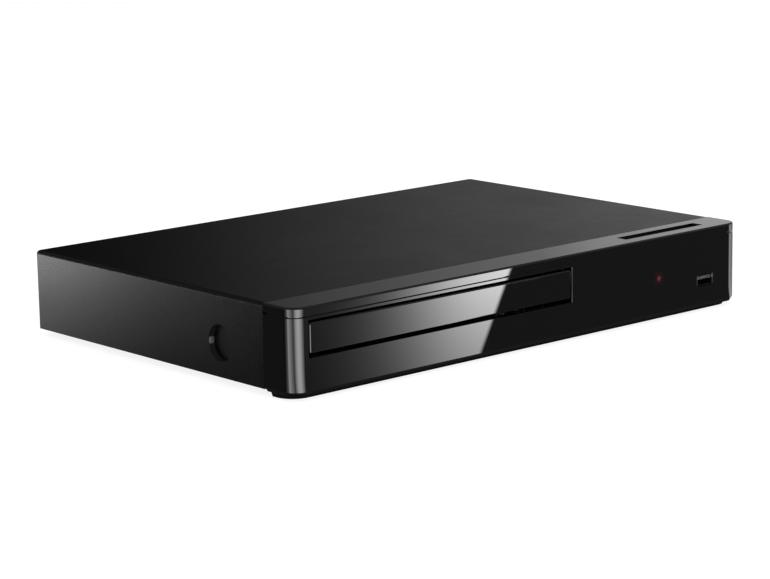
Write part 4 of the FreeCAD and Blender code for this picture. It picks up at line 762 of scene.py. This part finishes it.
def stage_object(name, points, faces, material, glossy_only=False):
    mesh = bpy.data.meshes.new(name)
    mesh.from_pydata(points, [], faces)
    mesh.materials.append(material)
    piece = bpy.data.objects.new(name, mesh)
    bpy.context.collection.objects.link(piece)
    if glossy_only:
        piece.visible_camera = piece.visible_diffuse = piece.visible_shadow = False
        piece.visible_transmission = piece.visible_volume_scatter = False


def stage_plane(name, reach, height, material, glossy_only=False):
    """Level square about the origin, which reaches as far to each side."""
    corners = ((-reach, -reach), (reach, -reach), (reach, reach), (-reach, reach))
    points = [(x, y, height) for x, y in corners]
    stage_object(name, points, [(0, 1, 2, 3)], material, glossy_only)


def bare_tree(name):
    material = bpy.data.materials.new(name)
    material.use_nodes = True
    material.node_tree.nodes.clear()
    return material, material.node_tree


def object_place(tree):
    """The place on an object, as its X, Y and Z."""
    place = add_node(tree, "ShaderNodeTexCoord").outputs["Object"]
    return add_node(tree, "ShaderNodeSeparateXYZ", Vector=place).outputs


def shine(tree, strength):
    """Let the material give off white light of a strength."""
    emission = add_node(tree, "ShaderNodeEmission", Strength=strength)
    add_node(tree, "ShaderNodeOutputMaterial", Surface=emission.outputs[0])


def seen_directly(tree):
    """One for camera, glossy and transmission rays, and nothing for the rest."""
    path = tree.nodes.new("ShaderNodeLightPath").outputs
    return larger(tree, path["Is Camera Ray"], path["Is Glossy Ray"], path["Is Transmission Ray"])


def floor_material():
    """Pale floor: mostly its own white, with enough lit white to keep the object's shadow."""
    material, tree = bare_tree("pale_floor")
    strength = map_range(tree, seen_directly(tree), 0.0, 1.0, 0.45, 0.86)
    own = add_node(tree, "ShaderNodeEmission", Strength=strength).outputs[0]
    lit = add_node(tree, "ShaderNodeBsdfDiffuse", Color=(0.22, 0.22, 0.22, 1)).outputs[0]
    both = add_node(tree, "ShaderNodeAddShader", i0=own, i1=lit).outputs[0]
    add_node(tree, "ShaderNodeOutputMaterial", Surface=both)
    return material


FLOOR_REACH = 12.0
stage_plane("studio_floor", FLOOR_REACH, 0.0, floor_material())

# What the gloss mirrors on the table, in metres and as shares of the card's peak strength
CARD_PEAK = 16.0
BODY_LEFT, BODY_FRONT = -0.156, -0.10795
FRONT_START, LEFT_START, LEFT_FAR, REAR_START = -0.1085, -0.157, -0.262, 0.110
CORNER_LIGHTS = [
    (0.0, 0.0), (0.19, 0.0), (0.24, 0.10), (0.25, 0.31), (0.275, 0.27), (0.355, 0.04), (0.40, 0.34),
    (0.435, 0.48), (0.47, 0.44), (0.56, 0.0), (1.0, 0.0),
]
RIGHT_LIGHT = [
    (0.0, 0.0), (0.635, 0.0), (0.645, 0.17), (0.67, 0.18), (0.715, 0.055), (0.90, 0.05), (0.95, 0.0),
    (1.0, 0.0),
]


def s_curve(tree, share, low, rise, middle, width):
    """Smooth rise from a low strength, the steepest at its middle."""
    behind = times(tree, math_node(tree, "SUBTRACT", middle, share), 1.0 / width)
    divisor = plus(tree, math_node(tree, "EXPONENT", behind), 1.0)
    return plus(tree, math_node(tree, "DIVIDE", rise, divisor), low)


def power_curve(tree, share, low, rise, power):
    """Rise from a low strength that steepens with the share."""
    return plus(tree, times(tree, math_node(tree, "POWER", share, power), rise), low)


def linear_place(tree, x, y, along_x, along_y, offset):
    """Distance along a direction on the floor, from a line."""
    return plus(tree, math_node(tree, "MULTIPLY_ADD", y, along_y, times(tree, x, along_x)), offset)


def heading_round(tree, x, y, centre):
    """Heading round a centre as a share of a turn: 0.25 to the left, 0.5 to the front, 0.75 to the right."""
    from_x = math_node(tree, "SUBTRACT", x, centre[0])
    from_y = math_node(tree, "SUBTRACT", y, centre[1])
    heading = math_node(tree, "ARCTAN2", from_x, times(tree, from_y, -1.0))
    return map_range(tree, heading, -math.pi, math.pi, 0.0, 1.0)


def front_light(tree, x, y, across):
    """Graded softbox in front, which ends in a straight slanted edge."""
    share = map_range(tree, across, -0.150, 0.010, 0.0, 1.0)
    farther = map_range(tree, y, -0.250, -0.110, 1.12, 0.62)
    edge = linear_place(tree, x, y, 0.6676, 0.7445, 0.1064)
    inside = map_range(tree, edge, -0.001, 0.001, 1.0, 0.0)
    in_front = math_node(tree, "LESS_THAN", y, FRONT_START)
    graded = s_curve(tree, share, low=0.005, rise=0.785, middle=0.56, width=0.13)
    return times(tree, graded, farther, inside, in_front)


def corner_light(tree, x, y, across):
    """Two narrow lights round the front left corner."""
    lights = ramp(tree, heading_round(tree, x, y, (-0.1477, -0.1053)), CORNER_LIGHTS)
    return times(tree, lights, math_node(tree, "LESS_THAN", across, -0.1505))


def clear_of_body(tree, x, y):
    """Nothing up to 5 mm from the body and beyond 0.46 m in front, and one in between."""
    from_side = math_node(tree, "SUBTRACT", BODY_LEFT, x)
    from_front = math_node(tree, "SUBTRACT", BODY_FRONT, y)
    contact = map_range(tree, larger(tree, from_side, from_front), 0.005, 0.008, 0.0, 1.0)
    return times(tree, contact, map_range(tree, y, -0.46, -0.36, 0.0, 1.0))


def left_wash(tree, x, y):
    """Wash on the left that grows to the back, with a stronger part farther out."""
    behind = linear_place(tree, x, y, 1.26, 1.0, 0.2824)
    share = map_range(tree, behind, 0.0, 0.2, 0.0, 1.0)
    near = times(tree, power_curve(tree, share, low=0.0195, rise=0.138, power=2.7),
                 map_range(tree, x, LEFT_START, LEFT_FAR, 0.62, 1.22))
    far_share = map_range(tree, behind, 0.11, 0.2, 0.0, 1.0)
    far = times(tree, power_curve(tree, far_share, low=0.0, rise=0.197, power=1.8),
                map_range(tree, x, -0.222, LEFT_FAR, 0.0, 1.0))
    return times(tree, plus(tree, near, far), math_node(tree, "LESS_THAN", x, LEFT_START),
                 math_node(tree, "GREATER_THAN", behind, 0.0))


def rear_light(tree, x, y):
    """Soft light behind the body, for views from the back."""
    return times(tree, map_range(tree, y, 0.112, 0.32, 0.05, 0.17, smooth=True),
                 math_node(tree, "GREATER_THAN", y, REAR_START), math_node(tree, "GREATER_THAN", x, -0.150))


def floor_card_material():
    """The lights on the table that the gloss mirrors, each where it is the strongest."""
    material, tree = bare_tree("table_reflections")
    place = object_place(tree)
    x, y = place["X"], place["Y"]
    across = linear_place(tree, x, y, 1.0, 0.89, 0.89 * 0.108)
    lit = larger(tree, front_light(tree, x, y, across), corner_light(tree, x, y, across))
    right = ramp(tree, heading_round(tree, x, y, (0.1478, -0.09975)), RIGHT_LIGHT)
    least = map_range(tree, y, FRONT_START, -0.1080, 0.0066, 0.004)
    total = larger(tree, times(tree, lit, clear_of_body(tree, x, y)), left_wash(tree, x, y), right,
                   rear_light(tree, x, y), least)
    shine(tree, times(tree, total, CARD_PEAK))
    return material


stage_plane("table_reflections", FLOOR_REACH, 0.0001, floor_card_material(), glossy_only=True)

# Strength of the surround by heading in degrees, 0 to the back and 90 to the right: between 2.5 and
# 3.2 m high, above 4.6 m, and the share of the first that is left below 2.36 m
SURROUND_LIGHT = [
    (-180, 0.40), (-120, 0.50), (-60, 0.28), (0, 0.20), (22, 0.10), (30, 0.005), (36, 0.02), (41, 0.19),
    (45, 0.37), (47, 0.68), (50, 0.82), (70, 0.8), (110, 0.42), (180, 0.40),
]
SURROUND_UPPER = [
    (-180, 0.35), (-120, 0.40), (-60, 0.20), (0, 0.15), (22, 0.06), (30, 0.004), (35, 0.008),
    (43.5, 0.14), (46, 0.055), (52, 0.03), (62, 0.15), (80, 0.35), (180, 0.35),
]
SURROUND_LOW_SHARE = [(-180, 0.8), (30, 0.8), (43, 0.87), (48, 0.45), (52, 0.4), (70, 0.4), (180, 0.8)]
SURROUND_RADIUS = SURROUND_HEIGHT = 14.0
SURROUND_COLUMNS = 180


def fade(tree, share, first, second):
    """From the first value to the second as the share grows from 0 to 1."""
    change = math_node(tree, "SUBTRACT", second, first)
    return math_node(tree, "MULTIPLY_ADD", change, share, first)


def surround_material():
    """Distant surround: dark behind on the left, growing light behind on the right."""
    material, tree = bare_tree("surround_reflections")
    place = object_place(tree)
    degrees = times(tree, math_node(tree, "ARCTAN2", place["X"], place["Y"]), 180 / math.pi)
    share = map_range(tree, degrees, -180.0, 180.0, 0.0, 1.0)
    light, upper, low_share = [
        ramp(tree, share, [((heading + 180) / 360, height) for heading, height in stops])
        for stops in (SURROUND_LIGHT, SURROUND_UPPER, SURROUND_LOW_SHARE)]
    above_low = map_range(tree, place["Z"], 2.36, 2.50, 0.0, 1.0, smooth=True)
    above_light = map_range(tree, place["Z"], 3.2, 4.6, 0.0, 1.0, smooth=True)
    shine(tree, fade(tree, above_light, fade(tree, above_low, times(tree, light, low_share), light), upper))
    return material


def surround_grid():
    """Standing ring of quads about the origin."""
    turn = np.linspace(0, 2 * np.pi, SURROUND_COLUMNS, endpoint=False)
    rim = SURROUND_RADIUS * np.stack([np.sin(turn), np.cos(turn)], -1)
    low = np.column_stack([rim, np.full(SURROUND_COLUMNS, 0.0)])
    high = np.column_stack([rim, np.full(SURROUND_COLUMNS, SURROUND_HEIGHT)])
    return np.concatenate([low, high]).tolist(), grid_faces(2, SURROUND_COLUMNS, 0).tolist()


stage_object("surround_reflections", *surround_grid(), surround_material(), glossy_only=True)

CEILING_REACH, CEILING_STRENGTH = 15.0, 0.2
ceiling, ceiling_tree = bare_tree("ceiling_reflections")
shine(ceiling_tree, CEILING_STRENGTH)
stage_plane("ceiling_reflections", CEILING_REACH, SURROUND_HEIGHT, ceiling, glossy_only=True)


def softbox(name, place, aim, size, power):
    """Large soft lamp that lights the object without showing in its gloss."""
    light = bpy.data.lights.new(name, "AREA")
    light.shape, light.size, light.energy = "DISK", size, power
    lamp = bpy.data.objects.new(name, light)
    bpy.context.collection.objects.link(lamp)
    direction = Vector(aim) - Vector(place)
    lamp.matrix_world = Matrix.Translation(place) @ direction.to_track_quat("-Z", "Y").to_matrix().to_4x4()
    lamp.visible_glossy = False


softbox("overhead_softbox", (0.0, 0.1, 1.6), (0, 0, 0), size=1.4, power=16.0)
softbox("front_softbox", (-1.3, -1.4, 0.9), (0, 0, 0.02), size=0.9, power=9.0)
softbox("side_softbox", (1.4, -0.7, 0.8), (0, 0, 0.02), size=0.9, power=7.0)

world = bpy.data.worlds.new("studio_world")
world.use_nodes = True
world.node_tree.nodes.clear()
world_strength = map_range(world.node_tree, seen_directly(world.node_tree), 0.0, 1.0, 0.45, 1.0)
background = add_node(world.node_tree, "ShaderNodeBackground", Color=(1, 1, 1, 1), Strength=world_strength)
add_node(world.node_tree, "ShaderNodeOutputWorld", Surface=background.outputs[0])
bpy.context.scene.world = world
bpy.context.scene.view_settings.view_transform = "Standard"
